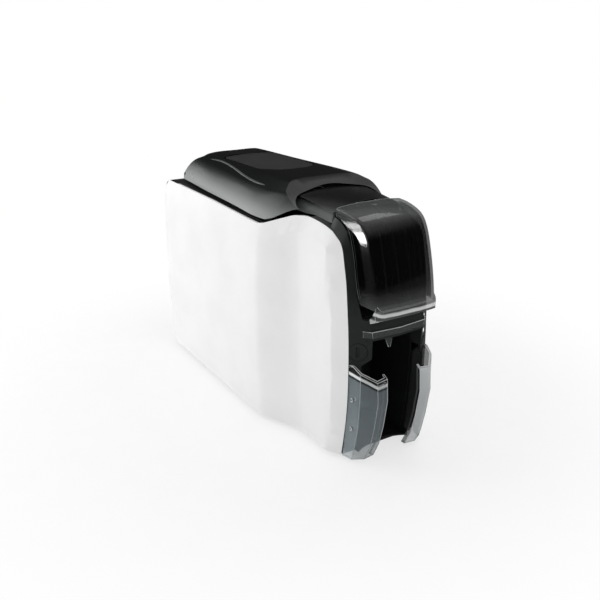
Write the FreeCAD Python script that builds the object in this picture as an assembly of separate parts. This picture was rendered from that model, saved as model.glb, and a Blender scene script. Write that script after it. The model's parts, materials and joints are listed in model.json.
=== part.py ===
import FreeCAD, Part
import math
import os

# A desktop printer for plastic identity cards, standing on its feet with its front facing -Y.
# X runs to the right as seen from the front, Y to the back and Z up.
# The origin is the middle of the footprint at the height of the table. Lengths are in millimetres.

V = FreeCAD.Vector
os.makedirs("parts", exist_ok=True)

# Overall sizes of the closed printer
WIDTH = 155.0
DEPTH = 386.0
HEIGHT = 252.0

# The card that everything inside is built round
CARD_LENGTH = 85.6
CARD_WIDTH = 54.0
CARD_THICKNESS = 0.76
CARD_SIDE_PLAY = 0.8
CARD_END_PLAY = 2.4

# Moulded walls, seams and fits
WALL = 2.5
THIN_WALL = 1.8
CLEAR_WALL = 2.2
SEAM_GAP = 0.5
MOVING_GAP = 0.8
SHAFT_PLAY = 0.05
SEAT = 0.3
OVERRUN = 5.0
FOOT_HEIGHT = 3.0
FOOT_RADIUS = 7.0
FOOT_INSET = 14.0

# Card track: the height of the card's underside and the rollers along it, front to back
TRACK_Z = 126.0
TRACK_ROLLER_RADIUS = 8.0
EXIT_ROLLER_Y = -88.0
FRONT_ROLLER_Y = -36.0
PLATEN_Y = 20.0
REAR_ROLLER_Y = 78.0
TRACK_END_Y = 150.0
ROLLER_LENGTH = 48.0
SHAFT_RADIUS = 3.0
NIP_GAP = 0.4
PINCH_RADIUS = 5.0
PINCH_SHAFT_RADIUS = 2.0
PINCH_LENGTH = 12.0
PINCH_OFFSET = 14.0

# Frame plates that carry the shafts
FRAME_INNER = 36.5
FRAME_THICKNESS = 2.0
FRAME_FRONT_Y = -98.0
FRAME_REAR_Y = 152.0
FRAME_BOTTOM_Z = 6.0
FRAME_TOP_Z = 206.0
BUSH_FLANGE_RADIUS = 6.0
BUSH_FLANGE = 1.2
BUSH_RADIUS = 4.6

# Belt drive on the left of the frame
PULLEY_RADIUS = 7.0
PULLEY_WIDTH = 7.0
PULLEY_FLANGE = 1.0
PULLEY_FLANGE_RISE = 2.2
PULLEY_OFFSET = 1.0
BELT_THICKNESS = 1.4
BELT_WIDTH = 4.4
BELT_PLAY = 0.3
MOTOR_Y = 122.0
MOTOR_SIDE = 35.0
MOTOR_LENGTH = 22.0
MOTOR_CORNER = 4.0
MOTOR_SHAFT_RADIUS = 2.5
MOTOR_BOSS_RADIUS = 11.0
MOTOR_BOSS = 1.6
MOTOR_POST_RADIUS = 1.6

# Side panels: plan and bevel, as shares of the half width, depth and height
# Each row: place along the depth, half widths at foot, belly, crease and top, heights of crease and top
PANEL_STATION_SHARES = (
    (0.500, 0.885, 0.915, 0.900, 0.830, 0.754, 0.855),
    (0.485, 0.935, 0.968, 0.950, 0.884, 0.754, 0.856),
    (0.456, 0.955, 0.994, 0.982, 0.910, 0.754, 0.856),
    (0.155, 0.958, 1.000, 0.994, 0.916, 0.751, 0.853),
    (-0.041, 0.958, 1.000, 0.994, 0.916, 0.746, 0.845),
    (-0.109, 0.955, 0.996, 0.991, 0.914, 0.750, 0.843),
    (-0.130, 0.933, 0.970, 0.966, 0.888, 0.760, 0.850),
    (-0.171, 0.839, 0.874, 0.870, 0.787, 0.794, 0.875),
    (-0.207, 0.759, 0.786, 0.782, 0.697, 0.829, 0.897),
    (-0.233, 0.707, 0.728, 0.723, 0.635, 0.845, 0.902),
    (-0.259, 0.690, 0.705, 0.697, 0.594, 0.844, 0.903),
    (-0.308, 0.686, 0.697, 0.694, 0.594, 0.841, 0.897),
    (-0.347, 0.684, 0.697, 0.694, 0.594, 0.833, 0.885),
    (-0.378, 0.684, 0.697, 0.694, 0.594, 0.821, 0.857),
    (-0.440, 0.684, 0.697, 0.694, 0.594, 0.794, 0.813),
)
BELLY_HEIGHT_SHARE = 0.437
PANEL_FOOT_Z = 5.0
# The panel's back edge seen from the side, from the foot up: depth and height shares
PANEL_BACK_SHARES = (
    (0.440, 0.020),
    (0.477, 0.056),
    (0.488, 0.159),
    (0.495, 0.317),
    (0.500, 0.516),
    (0.498, 0.694),
    (0.489, 0.813),
    (0.474, 0.849),
    (0.450, 0.862),
)

# The front face seen from the side, from the foot up and over to the cap: depth and height shares
FACE_SHARES = (
    (-0.403, 0.032),
    (-0.412, 0.115),
    (-0.419, 0.198),
    (-0.423, 0.357),
    (-0.420, 0.516),
    (-0.412, 0.643),
    (-0.404, 0.734),
    (-0.395, 0.794),
    (-0.387, 0.837),
    (-0.368, 0.869),
    (-0.334, 0.889),
    (-0.293, 0.899),
    (-0.251, 0.903),
    (-0.210, 0.897),
)
FACE_HALF_WIDTH = 45.5
# How far in the panel's block is filled before it is hollowed, as a share of the half width
PANEL_INNER_SHARE = 0.45
# How far the panel's front bevel runs back and out from the seam
FRONT_BEVEL_RUN = 14.0
FRONT_BEVEL_WIDTH = 8.0

# Top lid: sections along the depth, each a list of half width and height shares from the hem to the crown
LID_SECTION_SHARES = (
    (0.460, (
        (0.710, 0.850), (0.684, 0.880), (0.645, 0.912), (0.596, 0.936),
        (0.520, 0.958), (0.440, 0.977), (0.300, 0.986),
    )),
    (0.400, (
        (0.723, 0.850), (0.690, 0.890), (0.638, 0.924), (0.584, 0.948),
        (0.520, 0.964), (0.440, 0.985), (0.300, 0.994),
    )),
    (0.260, (
        (0.780, 0.850), (0.748, 0.890), (0.694, 0.926), (0.638, 0.950),
        (0.580, 0.965), (0.465, 0.989), (0.320, 0.998),
    )),
    (0.100, (
        (0.826, 0.850), (0.790, 0.890), (0.744, 0.924), (0.698, 0.949),
        (0.646, 0.965), (0.505, 0.990), (0.340, 0.999),
    )),
    (-0.020, (
        (0.868, 0.850), (0.830, 0.890), (0.786, 0.922), (0.740, 0.948),
        (0.690, 0.964), (0.545, 0.991), (0.360, 1.000),
    )),
    (-0.100, (
        (0.880, 0.850), (0.836, 0.890), (0.786, 0.924), (0.738, 0.949),
        (0.682, 0.967), (0.545, 0.992), (0.360, 1.000),
    )),
    (-0.150, (
        (0.818, 0.862), (0.780, 0.900), (0.738, 0.932), (0.694, 0.956),
        (0.636, 0.974), (0.515, 0.993), (0.360, 1.000),
    )),
    (-0.205, (
        (0.690, 0.890), (0.668, 0.915), (0.642, 0.938), (0.610, 0.958),
        (0.565, 0.974), (0.470, 0.991), (0.340, 0.998),
    )),
    (-0.225, (
        (0.640, 0.900), (0.624, 0.920), (0.602, 0.940), (0.574, 0.958),
        (0.534, 0.974), (0.450, 0.990), (0.330, 0.998),
    )),
)
# The lid's rear slope and its hem seen from the side: depth and height shares
LID_REAR_SHARES = (
    (0.458, 0.861), (0.4385, 0.908), (0.4230, 0.940), (0.4040, 0.962),
    (0.3820, 0.9750), (0.3660, 0.990), (0.342, 1.0),
)
LID_SHOULDER = 4
LID_HEM_SHARES = ((-0.125, 0.861), (-0.148, 0.872), (-0.178, 0.898), (-0.200, 0.914), (-0.224, 0.9246))
# The raked front rim: where its plane meets the hem and the crown
LID_RIM_FOOT_Y = -81.0
LID_RIM_FOOT_Z = 233.0
LID_RIM_TOP_Y = -49.5
LID_MOUTH_SHARES = (
    (0.632, 0.895), (0.631, 0.926), (0.589, 0.945), (0.502, 0.9575), (0.366, 0.965), (0.041, 0.977),
)
LID_WALL = 2.4
LID_REAR_PLAN_RADIUS = 12.0
LID_REAR_PLAN_HALF = 56.0

# Lid hinge: pin across the back, ears on the deck and on the lid
LID_HINGE_Y = 170.0
LID_HINGE_Z = 222.5
LID_PIN_RADIUS = 2.0
LID_PIN_HALF = 44.0
LID_EAR_RADIUS = 3.4
LID_EAR_THICKNESS = 4.0
LID_DECK_EAR_X = 40.0
LID_EAR_GAP = 0.6

# Release pad, straight at the back and round at the front
PAD_HALF = 32.0
PAD_REAR_Y = 104.0
PAD_FRONT_Y = 0.0
PAD_CORNER = 26.0
PAD_REAR_CORNER = 5.0
PAD_THICKNESS = 3.6
PAD_TOP_Z = 251.6
PAD_CROWN_RADIUS = 420.0
PAD_SIDE_GAP = 1.4
PAD_RECESS_Z = 244.0
PAD_RECESS_WALL = 2.2
PAD_HINGE_Y = 97.0
PAD_HINGE_Z = 246.2
PAD_HINGE_RADIUS = 1.0
PAD_EAR_RADIUS = 1.9
PAD_EAR_WIDTH = 4.0
PAD_HINGE_X = 22.0
PAD_PUSHER_Y = 36.0
PAD_PUSHER_RADIUS = 2.2

# Latch: two hooks on a cross shaft under the pad, beside studs on the frame
LATCH_Y = 22.0
LATCH_Z = 236.0
LATCH_SHAFT_RADIUS = 2.0
LATCH_HOOK_X = 33.0
LATCH_HOOK_THICKNESS = 2.4
LATCH_HOOK_WIDTH = 6.0
LATCH_NOSE = 1.8
LATCH_STUD_Z = 203.0
LATCH_STUD_RADIUS = 2.0
LATCH_BOSS_RADIUS = 4.0
LATCH_ARM_LENGTH = 15.0
LATCH_ARM_WIDTH = 10.0

# Print head in a cradle that hangs from the lid
HEAD_HALF = 29.5
HEAD_DEPTH = 22.0
HEAD_HEIGHT = 30.0
HEAD_TIP = 5.0
HEAD_LIFT = 1.0
HEAD_FIN_COUNT = 7
HEAD_FIN_GAP = 1.6
HEAD_FIN_HEIGHT = 14.0
CRADLE_WALL = 2.0
CRADLE_DEPTH = 26.0
CRADLE_BRIDGE_Z = 166.0
CRADLE_WINDOW = 12.0

# Ribbon cassette and spools
SPOOL_Z = 186.0
SUPPLY_Y = 96.0
TAKEUP_Y = -44.0
SPOOL_CORE_RADIUS = 9.0
SPOOL_BORE_RADIUS = 5.0
SUPPLY_RADIUS = 19.0
TAKEUP_RADIUS = 12.0
RIBBON_WIDTH = 58.0
SPOOL_FLANGE = 1.2
SPOOL_FLANGE_RISE = 2.5
CASSETTE_HALF = 34.5
CASSETTE_RAIL = 2.0
CASSETTE_RAIL_HEIGHT = 16.0
GUIDE_BAR_RADIUS = 2.0
GUIDE_BAR_SPREAD = 30.0
FILM_THICKNESS = 0.3
FILM_WIDTH = 56.0

# Feeder cap over the back of the hopper: rows of depth share, half width, edge height and crown height
CAP_STATION_SHARES = (
    (-0.158, 0.497, 0.956, 0.9655),
    (-0.207, 0.494, 0.951, 0.9665),
    (-0.259, 0.490, 0.944, 0.9660),
    (-0.321, 0.484, 0.934, 0.9645),
)
CAP_SIDE_LEAN = 1.0
CAP_DROP_Z = 224.0

# Hood over the hopper: outline of its side edge from the seam down to the lip
HOOD_EDGE_SHARES = (
    (-0.3260, 0.9520),
    (-0.3575, 0.9500),
    (-0.3890, 0.9410),
    (-0.4170, 0.9230),
    (-0.4370, 0.8850),
    (-0.4520, 0.8260),
    (-0.4640, 0.7620),
    (-0.4730, 0.6980),
    (-0.4790, 0.6350),
)
# Where the hood's side walls meet the front face, from the seam down to the lip
HOOD_BACK_SHARES = (
    (-0.3290, 0.9240),
    (-0.3560, 0.9100),
    (-0.3740, 0.8900),
    (-0.3860, 0.8500),
    (-0.3945, 0.8050),
    (-0.4030, 0.7380),
    (-0.4130, 0.6720),
    (-0.4280, 0.6260),
    (-0.4480, 0.5950),
    (-0.4560, 0.5830),
)
HOOD_CROWN = 3.0
HOOD_BACK_HALF = 37.0
HOOD_FRONT_HALF = 32.5
HOOD_EDGE_RADIUS = 3.0
HOOD_LIP_CORNER = 9.0
HOOD_HINGE_Y = -125.5
HOOD_HINGE_Z = 240.6
HOOD_HINGE_RADIUS = 2.0
HOOD_PIN_RADIUS = 0.9
HOOD_KNUCKLE_HALF = 6.0
HOOD_KNUCKLE_WIDTH = 7.0
HOOD_KNUCKLE_WEB = 3.6
HOOD_BACK_GAP = 1.0
CAP_FRONT_GAP = 2.6
HOOD_LIP_SHARES = (
    (-0.4760, 0.6550),
    (-0.4870, 0.6420),
    (-0.4922, 0.6260),
    (-0.4900, 0.6080),
    (-0.4700, 0.5920),
    (-0.4570, 0.5830),
    (-0.4540, 0.5960),
    (-0.4640, 0.6150),
)
HOOD_RIB_COUNT = 4
HOOD_RIB_PITCH = 13.5
HOOD_RIB_THICKNESS = 1.0
HOOD_RIB_DEPTH = 1.6

# Chin under the hood: rows of height share, then plan points of half width and depth shares
CHIN_STATION_SHARES = (
    (0.405, ((0.587, -0.4230), (0.475, -0.4370), (0.361, -0.4540), (0.000, -0.4590))),
    (0.524, ((0.587, -0.4200), (0.480, -0.4360), (0.387, -0.4550), (0.000, -0.4610))),
    (0.556, ((0.587, -0.4190), (0.484, -0.4330), (0.397, -0.4530), (0.000, -0.4600))),
    (0.590, ((0.587, -0.4160), (0.490, -0.4270), (0.400, -0.4460), (0.000, -0.4520))),
    (0.635, ((0.587, -0.4120), (0.490, -0.4170), (0.400, -0.4240), (0.000, -0.4280))),
    (0.675, ((0.587, -0.4080), (0.490, -0.4080), (0.400, -0.4080), (0.000, -0.4080))),
)
CHIN_CORNER_CUT = 8.0
BAND_INNER_SHARES = (
    (-0.4085, 0.675),
    (-0.4030, 0.738),
    (-0.3955, 0.798),
    (-0.3865, 0.848),
    (-0.3740, 0.886),
    (-0.3540, 0.909),
    (-0.3275, 0.922),
)
BAND_INNER_HALF = 37.6

# Input hopper and feeding
HOPPER_FLOOR_Z = 149.5
HOPPER_FRONT_Y = -180.0
HOPPER_TOP_Z = 224.0
HOPPER_RIB_COUNT = 4
HOPPER_RIB_DEPTH = 1.4
HOPPER_RIB_WIDTH = 1.6
PICK_ROLLER_Y = -122.0
PICK_ROLLER_RADIUS = 9.0
PICK_ROLLER_LENGTH = 22.0
PICK_PROUD = 0.3
CLEANING_ROLLER_Y = -66.0
CLEANING_ROLLER_RADIUS = 6.5
CHUTE_END_Y = -48.0
CHUTE_GAP = 1.6
GATE_THICKNESS = 3.0
GATE_HEIGHT = 26.0

# Output bin, its guards and the ledge above it
BIN_HALF = 28.5
BIN_FLOOR_Z = 8.0
BIN_FLOOR = 2.0
BIN_ROOF_Z = 128.0
BIN_REAR_Y = -100.0
BIN_FRONT_Y = -168.0
BIN_FLOOR_SCOOP = 60.0
EXIT_SLOT_HEIGHT = 4.0
GUARD_TOP_SHARE = 0.413
GUARD_FRONT_TOP_SHARE = 0.357
# Guard: rows of height share, depth shares of seam, facet and front, and inner edge half width share
GUARD_STATION_SHARES = (
    (0.018, -0.405, -0.432, -0.448, -0.444),
    (0.085, -0.411, -0.444, -0.469, -0.465),
    (0.170, -0.417, -0.454, -0.482, -0.479),
    (0.282, -0.421, -0.459, -0.4935, -0.4905),
    (0.365, -0.423, -0.459, -0.489, -0.486),
    (0.420, -0.422, -0.458, -0.486, -0.483),
)
GUARD_SEAM_HALF = 45.0
GUARD_FACET_HALF = 42.0
GUARD_FRONT_HALF = 31.0
GUARD_INNER_HALF = 19.0
GUARD_LIP = 5.0
GUARD_BOSS_RADIUS = 2.0
GUARD_BOSS_LOW_Z = 40.0
GUARD_BOSS_HIGH_Z = 70.0
LEDGE_BOTTOM_Z = 131.5
LEDGE_TOP_Z = 137.5
LEDGE_HALF = 36.0
LEDGE_PROUD = 2.2
EXIT_TONGUE_X = -10.0
EXIT_TONGUE_WIDTH = 9.0
EXIT_TONGUE_DROP = 10.0
EXIT_TONGUE_THICKNESS = 1.2
DISC_X = -38.6
DISC_Z = 116.5
DISC_RADIUS = 9.0
DISC_DEPTH = 3.0
DISC_SLOT_WIDTH = 2.0
DISC_SLOT_LENGTH = 9.0

# Indicator panel with its lights and button, on the right cheek
PANEL_LEFT_X = 30.5
PANEL_RIGHT_X = 44.0
PANEL_LOW_Z = 103.0
PANEL_HIGH_Z = 142.0
PANEL_THICKNESS = 1.6
LIGHT_SIDE = 3.6
LIGHT_LOW_Z = 121.5
LIGHT_PITCH = 7.5
LIGHT_COUNT = 3
BUTTON_Z = 111.5
BUTTON_WIDTH = 7.0
BUTTON_HEIGHT = 6.4
BUTTON_PROUD = 0.8
BUTTON_TRAVEL = 0.8
BUTTON_REST_GAP = 0.1
BUTTON_FLANGE = 1.2

# Base tray, deck and rear cover
TRAY_FLOOR = 3.0
TRAY_RIM_Z = 18.0
DECK_TOP_Z = 213.5
DECK_THICKNESS = 2.5
DECK_REAR_Y = 185.0
DECK_FRONT_Y = -60.0
BAY_HALF = 36.0
BAY_FRONT_Y = -66.0
BAY_REAR_Y = 150.0
REAR_COVER_Y = 186.5
REAR_COVER_HALF = 69.5
REAR_COVER_TOP_Z = 213.0
VENT_COUNT = 9
VENT_PITCH = 7.0
VENT_HEIGHT = 3.0
VENT_WIDTH = 44.0
VENT_LOW_Z = 110.0
SCREW_X = 58.0
SCREW_LOW_Z = 26.0
SCREW_HIGH_Z = 198.0
SCREW_HEAD_RADIUS = 3.2
SCREW_HEAD = 1.8
SCREW_SHANK_RADIUS = 1.5
SCREW_SHANK = 8.0
SCREW_BOSS_RADIUS = 4.0

# Main board and the sockets at the back
BOARD_THICKNESS = 1.6
BOARD_X = 58.0
BOARD_LOW_Z = 22.0
BOARD_HIGH_Z = 112.0
SOCKET_DEPTH = 18.0
CHIP_DEPTH = 2.4
CHIP_SHARES = (
    (-0.60, 0.45, 0.42, 0.26), (-0.05, 0.52, 0.30, 0.18), (0.38, 0.40, 0.22, 0.30), (-0.85, 0.82, 0.30, 0.10),
)
CAPACITOR_SHARES = (0.20, 0.42, 0.64)
CAPACITOR_HEIGHT_SHARE = 0.85
CAPACITOR_RADIUS = 4.0
CAPACITOR_LENGTH = 11.0
DC_X = -30.0
DC_Z = 34.0
DC_SIDE = 11.0
DC_BORE_RADIUS = 2.75
DC_PIN_RADIUS = 1.0
USB_X = 30.0
USB_Z = 34.0
USB_WIDTH = 12.0
USB_HEIGHT = 11.0
LAN_X = 0.0
LAN_Z = 35.0
LAN_WIDTH = 16.0
LAN_HEIGHT = 13.5
SOCKET_WALL = 1.2
SOCKET_PLAY = 0.4

# How closely an edge must follow an axis to count as running along it
ALONG_SHARE = 0.9

# Places worked out from the sizes above
X_AXIS = V(1, 0, 0)
Y_AXIS = V(0, 1, 0)
Z_AXIS = V(0, 0, 1)
HALF_WIDTH = WIDTH / 2
HALF_DEPTH = DEPTH / 2
CARD_HALF = CARD_WIDTH / 2
CHANNEL_HALF = CARD_HALF + CARD_SIDE_PLAY
FRAME_OUTER = FRAME_INNER + FRAME_THICKNESS
TRACK_SHAFT_Z = TRACK_Z - TRACK_ROLLER_RADIUS
PINCH_SHAFT_Z = TRACK_Z + NIP_GAP + PINCH_RADIUS
HOPPER_REAR_Y = HOPPER_FRONT_Y + CARD_LENGTH + CARD_END_PLAY
PANEL_INNER = PANEL_INNER_SHARE * HALF_WIDTH
LID_RAKE = (HEIGHT - LID_RIM_FOOT_Z) / (LID_RIM_TOP_Y - LID_RIM_FOOT_Y)
PULLEY_X = -(FRAME_OUTER + BUSH_FLANGE + PULLEY_OFFSET)


def box(x0, x1, y0, y1, z0, z1):
    """Block between two corners."""
    return Part.makeBox(x1 - x0, y1 - y0, z1 - z0, V(x0, y0, z0))


def rod_x(x0, x1, y, z, radius):
    """Round bar along X."""
    return Part.makeCylinder(radius, x1 - x0, V(x0, y, z), X_AXIS)


def rod_y(x, y0, y1, z, radius):
    """Round bar along Y."""
    return Part.makeCylinder(radius, y1 - y0, V(x, y0, z), Y_AXIS)


def rod_z(x, y, z0, z1, radius):
    """Round bar along Z."""
    return Part.makeCylinder(radius, z1 - z0, V(x, y, z0), Z_AXIS)


def join(shapes):
    """One solid from overlapping ones, without leftover seams."""
    whole = shapes[0]
    if len(shapes) > 1:
        whole = whole.fuse(shapes[1:])
    return single(whole.removeSplitter())


def single(shape):
    """The only solid of a result, or the result itself where it has several."""
    return shape.Solids[0] if len(shape.Solids) == 1 else shape


def cut(shape, tools):
    """Shape with all the tools taken out."""
    return single(shape.cut(tools))


def common(first, second):
    """What two shapes share."""
    return single(first.common(second))


def mirrored(shape):
    """The same piece on the other side of the middle plane."""
    return shape.mirror(V(0, 0, 0), X_AXIS)


def polygon(points):
    """Closed wire through the points."""
    return Part.makePolygon(list(points) + [points[0]])


def prism(points, along):
    """Solid from a closed outline moved along a vector."""
    return Part.Face(polygon(points)).extrude(along)


def curve(points):
    """Smooth edge through the points."""
    spline = Part.BSplineCurve()
    spline.interpolate(list(points))
    return spline.toShape()


def curved_face(points, closing):
    """Face between a smooth curve and straight lines through the closing points."""
    corners = [points[-1]] + list(closing) + [points[0]]
    edges = [curve(points)]
    for start, end in zip(corners, corners[1:]):
        edges.append(Part.makeLine(start, end))
    return Part.Face(Part.Wire(edges))


def side_points(shares, x):
    """Points of a side view outline, from depth and height shares, in the plane at x."""
    return [V(x, y * DEPTH, z * HEIGHT) for y, z in shares]


def offset_points(points, distance):
    """Open outline in a side view moved square to itself, to the left of its run."""
    moved = []
    for index, point in enumerate(points):
        before = points[max(index - 1, 0)]
        after = points[min(index + 1, len(points) - 1)]
        run = after.sub(before)
        run.normalize()
        moved.append(point.add(V(0, -run.z, run.y).multiply(distance)))
    return moved


def edges_along(edges, axis):
    """The edges that start out along an axis."""
    return [edge for edge in edges if abs(edge.tangentAt(edge.FirstParameter).dot(axis)) > ALONG_SHARE]


def is_bent(edge):
    """Whether an edge leaves the straight line between its ends."""
    chord = edge.Vertexes[0].Point.distanceToPoint(edge.Vertexes[-1].Point)
    return edge.Length > chord + SEAM_GAP


def save(name, shapes):
    """Write one piece, or a group of like pieces, under its own name."""
    if len(shapes) == 1:
        shapes[0].exportStep("parts/" + name + ".step")
    else:
        Part.makeCompound(shapes).exportStep("parts/" + name + ".step")


def face_prism(inset, half):
    """Everything behind the printer's front face, moved in by inset, as wide as asked."""
    points = offset_points(side_points(FACE_SHARES, -half), -inset)
    closing = [V(-half, HALF_DEPTH, points[-1].z), V(-half, HALF_DEPTH, points[0].z)]
    return curved_face(points, closing).extrude(V(2 * half, 0, 0))


def panel_section(row, inset, open_top):
    """Cross section of the left side panel's block at one place along the depth."""
    y_share, foot, belly, crease, top, crease_z, top_z = row
    y = y_share * DEPTH
    foot_x = -(foot * HALF_WIDTH - inset)
    belly_x = -(belly * HALF_WIDTH - inset)
    crease_x = -(crease * HALF_WIDTH - inset)
    top_x = -(top * HALF_WIDTH - inset)
    base_z = -open_top
    high = top_z * HEIGHT
    low = V(foot_x, y, base_z)
    middle = V(belly_x, y, BELLY_HEIGHT_SHARE * HEIGHT)
    bend = V(crease_x, y, crease_z * HEIGHT - inset / 2)
    tip = V(top_x, y, high)
    if open_top > 0:
        reach = tip.sub(bend)
        reach.normalize()
        tip = tip.add(reach.multiply(open_top))
    inner = -(PANEL_INNER - open_top)
    edges = [
        Part.Arc(low, middle, bend).toShape(),
        Part.makeLine(bend, tip),
        Part.makeLine(tip, V(inner, y, tip.z)),
        Part.makeLine(V(inner, y, tip.z), V(inner, y, base_z)),
        Part.makeLine(V(inner, y, base_z), low),
    ]
    return Part.Wire(edges)


def panel_block(inset, open_top):
    """Block under the left side panel's skin, its skin moved in by inset."""
    wires = [panel_section(row, inset, open_top) for row in PANEL_STATION_SHARES]
    return Part.makeLoft(wires, True, True)


def seam_cutter(inset):
    """Everything in front of the panel's front bevel, moved back by inset."""
    seam = -GUARD_SEAM_HALF - SEAM_GAP
    points = offset_points(side_points(FACE_SHARES, seam), -inset)
    points = points[:-1]
    front = -DEPTH
    closing = [V(seam, points[-1].y, 2 * HEIGHT), V(seam, front, 2 * HEIGHT), V(seam, front, -OVERRUN),
               V(seam, points[0].y, -OVERRUN)]
    slant = V(-4 * FRONT_BEVEL_WIDTH, 4 * FRONT_BEVEL_RUN, 0)
    face = curved_face(points, closing)
    face.translate(V(FRONT_BEVEL_WIDTH, -FRONT_BEVEL_RUN, 0))
    return face.extrude(slant)


def panel_back(inset):
    """Everything in front of the panel's bowed back edge and above its foot."""
    points = offset_points(side_points(PANEL_BACK_SHARES, -WIDTH), inset)
    foot = PANEL_FOOT_Z
    closing = [V(-WIDTH, points[-1].y, HEIGHT), V(-WIDTH, -DEPTH, HEIGHT), V(-WIDTH, -DEPTH, foot),
               V(-WIDTH, points[0].y, foot)]
    return curved_face(points, closing).extrude(V(WIDTH, 0, 0))


def side_panel():
    """White left side panel: a bowed, creased skin, open inside and below."""
    skin = panel_block(0, 0)
    hollow = panel_block(WALL, OVERRUN)
    hollow = cut(common(hollow, panel_back(WALL)), [seam_cutter(WALL)])
    inner_limit = box(-WIDTH, -GUARD_SEAM_HALF - SEAM_GAP, -DEPTH, DEPTH, 0, HEIGHT)
    skin = common(common(skin, panel_back(0)), inner_limit)
    skin = cut(skin, [hollow])
    cover_half = REAR_COVER_HALF + SEAM_GAP
    rear_opening = box(-cover_half, 0, FRAME_REAR_Y, DEPTH, 0, HEIGHT)
    return cut(skin, [seam_cutter(0), rear_opening])


def chin_section(row):
    """Plan outline of the chin at one height, closed well behind the face."""
    z_share, plan = row
    z = z_share * HEIGHT
    left = [V(-x * HALF_WIDTH, y * DEPTH, z) for x, y in plan]
    right = [V(x * HALF_WIDTH, y * DEPTH, z) for x, y in reversed(plan[:-1])]
    back = HOPPER_FRONT_Y + CARD_LENGTH / 2
    return polygon(left + right + [V(FACE_HALF_WIDTH, back, z), V(-FACE_HALF_WIDTH, back, z)])


def chin_block():
    """Solid chin that bulges forward under the hood."""
    return Part.makeLoft([chin_section(row) for row in CHIN_STATION_SHARES], True, True)


def band_block():
    """Band on the left between the seam and the hood, rising over the top of the face."""
    outer = side_points(FACE_SHARES, -FACE_HALF_WIDTH)
    outer = [point for point in outer if point.z > BAND_INNER_SHARES[0][1] * HEIGHT - OVERRUN]
    outer = [point for point in outer if point.y < HOOD_HINGE_Y - OVERRUN or point.z < outer[0].z]
    inner = side_points(BAND_INNER_SHARES, -BAND_INNER_HALF)
    outer_face_end = V(-FACE_HALF_WIDTH, inner[-1].y, outer[-1].z + SEAT)
    outer = outer + [outer_face_end]
    back = inner[-1].y
    wires = []
    for x, points in ((-FACE_HALF_WIDTH, outer), (-BAND_INNER_HALF, inner)):
        low = V(x, back, points[0].z)
        edges = [curve(points), Part.makeLine(points[-1], low), Part.makeLine(low, points[0])]
        wires.append(Part.Wire(edges))
    return Part.makeLoft(wires, True, True)


def front_fascia():
    """Black front between the side panels, open to the hopper above and the bin below."""
    face = face_prism(0, FACE_HALF_WIDTH)
    band = band_block()
    whole = join([face, chin_block(), band, mirrored(band)])
    bin_x = BIN_HALF + WALL
    hollow = face_prism(WALL, FACE_HALF_WIDTH - WALL)
    back_cut = box(-WIDTH, WIDTH, FRAME_FRONT_Y, DEPTH, 0, HEIGHT)
    hopper_half = BAND_INNER_HALF - WALL
    hopper_floor = HOPPER_FLOOR_Z - THIN_WALL - SEAM_GAP
    hopper = box(-hopper_half, hopper_half, -DEPTH, DEPTH, hopper_floor, HEIGHT + OVERRUN)
    bin_mouth = box(-BIN_HALF, BIN_HALF, -DEPTH, DEPTH, -OVERRUN, BIN_ROOF_Z)
    low_z = CHIN_STATION_SHARES[0][0] * HEIGHT
    lower = box(-bin_x, bin_x, -DEPTH, DEPTH, -OVERRUN, low_z)
    corner = [V(-BIN_HALF, -DEPTH, low_z + CHIN_CORNER_CUT), V(-BIN_HALF - CHIN_CORNER_CUT, -DEPTH, low_z),
              V(-BIN_HALF, -DEPTH, low_z - OVERRUN)]
    corner_cut = prism(corner, V(0, DEPTH, 0))
    foot_y, foot_z = FACE_SHARES[0][0] * DEPTH + WALL, FACE_SHARES[0][1] * HEIGHT + WALL
    below = box(WALL - FACE_HALF_WIDTH, FACE_HALF_WIDTH - WALL, foot_y, DEPTH, 0, foot_z)
    return cut(whole, [hollow, below, back_cut, hopper, bin_mouth, lower, corner_cut, mirrored(corner_cut)])


def cap_section(row, inset):
    """Crowned cross section of the feeder cap at one place along the depth."""
    y_share, half_share, edge_share, crown_share = row
    y = y_share * DEPTH
    half = half_share * HALF_WIDTH - inset
    edge_z = edge_share * HEIGHT - inset
    crown_z = crown_share * HEIGHT - inset
    foot_z = CAP_DROP_Z - inset
    foot = half + CAP_SIDE_LEAN
    left, right = V(-half, y, edge_z), V(half, y, edge_z)
    left_foot, right_foot = V(-foot, y, foot_z), V(foot, y, foot_z)
    edges = [
        Part.makeLine(left_foot, left),
        Part.Arc(left, V(0, y, crown_z), right).toShape(),
        Part.makeLine(right, right_foot),
        Part.makeLine(right_foot, left_foot),
    ]
    return Part.Wire(edges)


def knuckle(x0, x1, reach):
    """Hinge barrel of the hood with its web, bored for the pin; reach runs back or forward."""
    barrel = rod_x(x0, x1, HOOD_HINGE_Y, HOOD_HINGE_Z, HOOD_HINGE_RADIUS)
    y0, y1 = sorted((HOOD_HINGE_Y, HOOD_HINGE_Y + reach))
    web = box(x0, x1, y0, y1, HOOD_HINGE_Z - HOOD_PIN_RADIUS, HOOD_HINGE_Z + HOOD_PIN_RADIUS)
    return [barrel, web]


def hood_pin_bore(radius):
    """Bore along the hood's hinge."""
    return rod_x(-WIDTH, WIDTH, HOOD_HINGE_Y, HOOD_HINGE_Z, radius)


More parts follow.
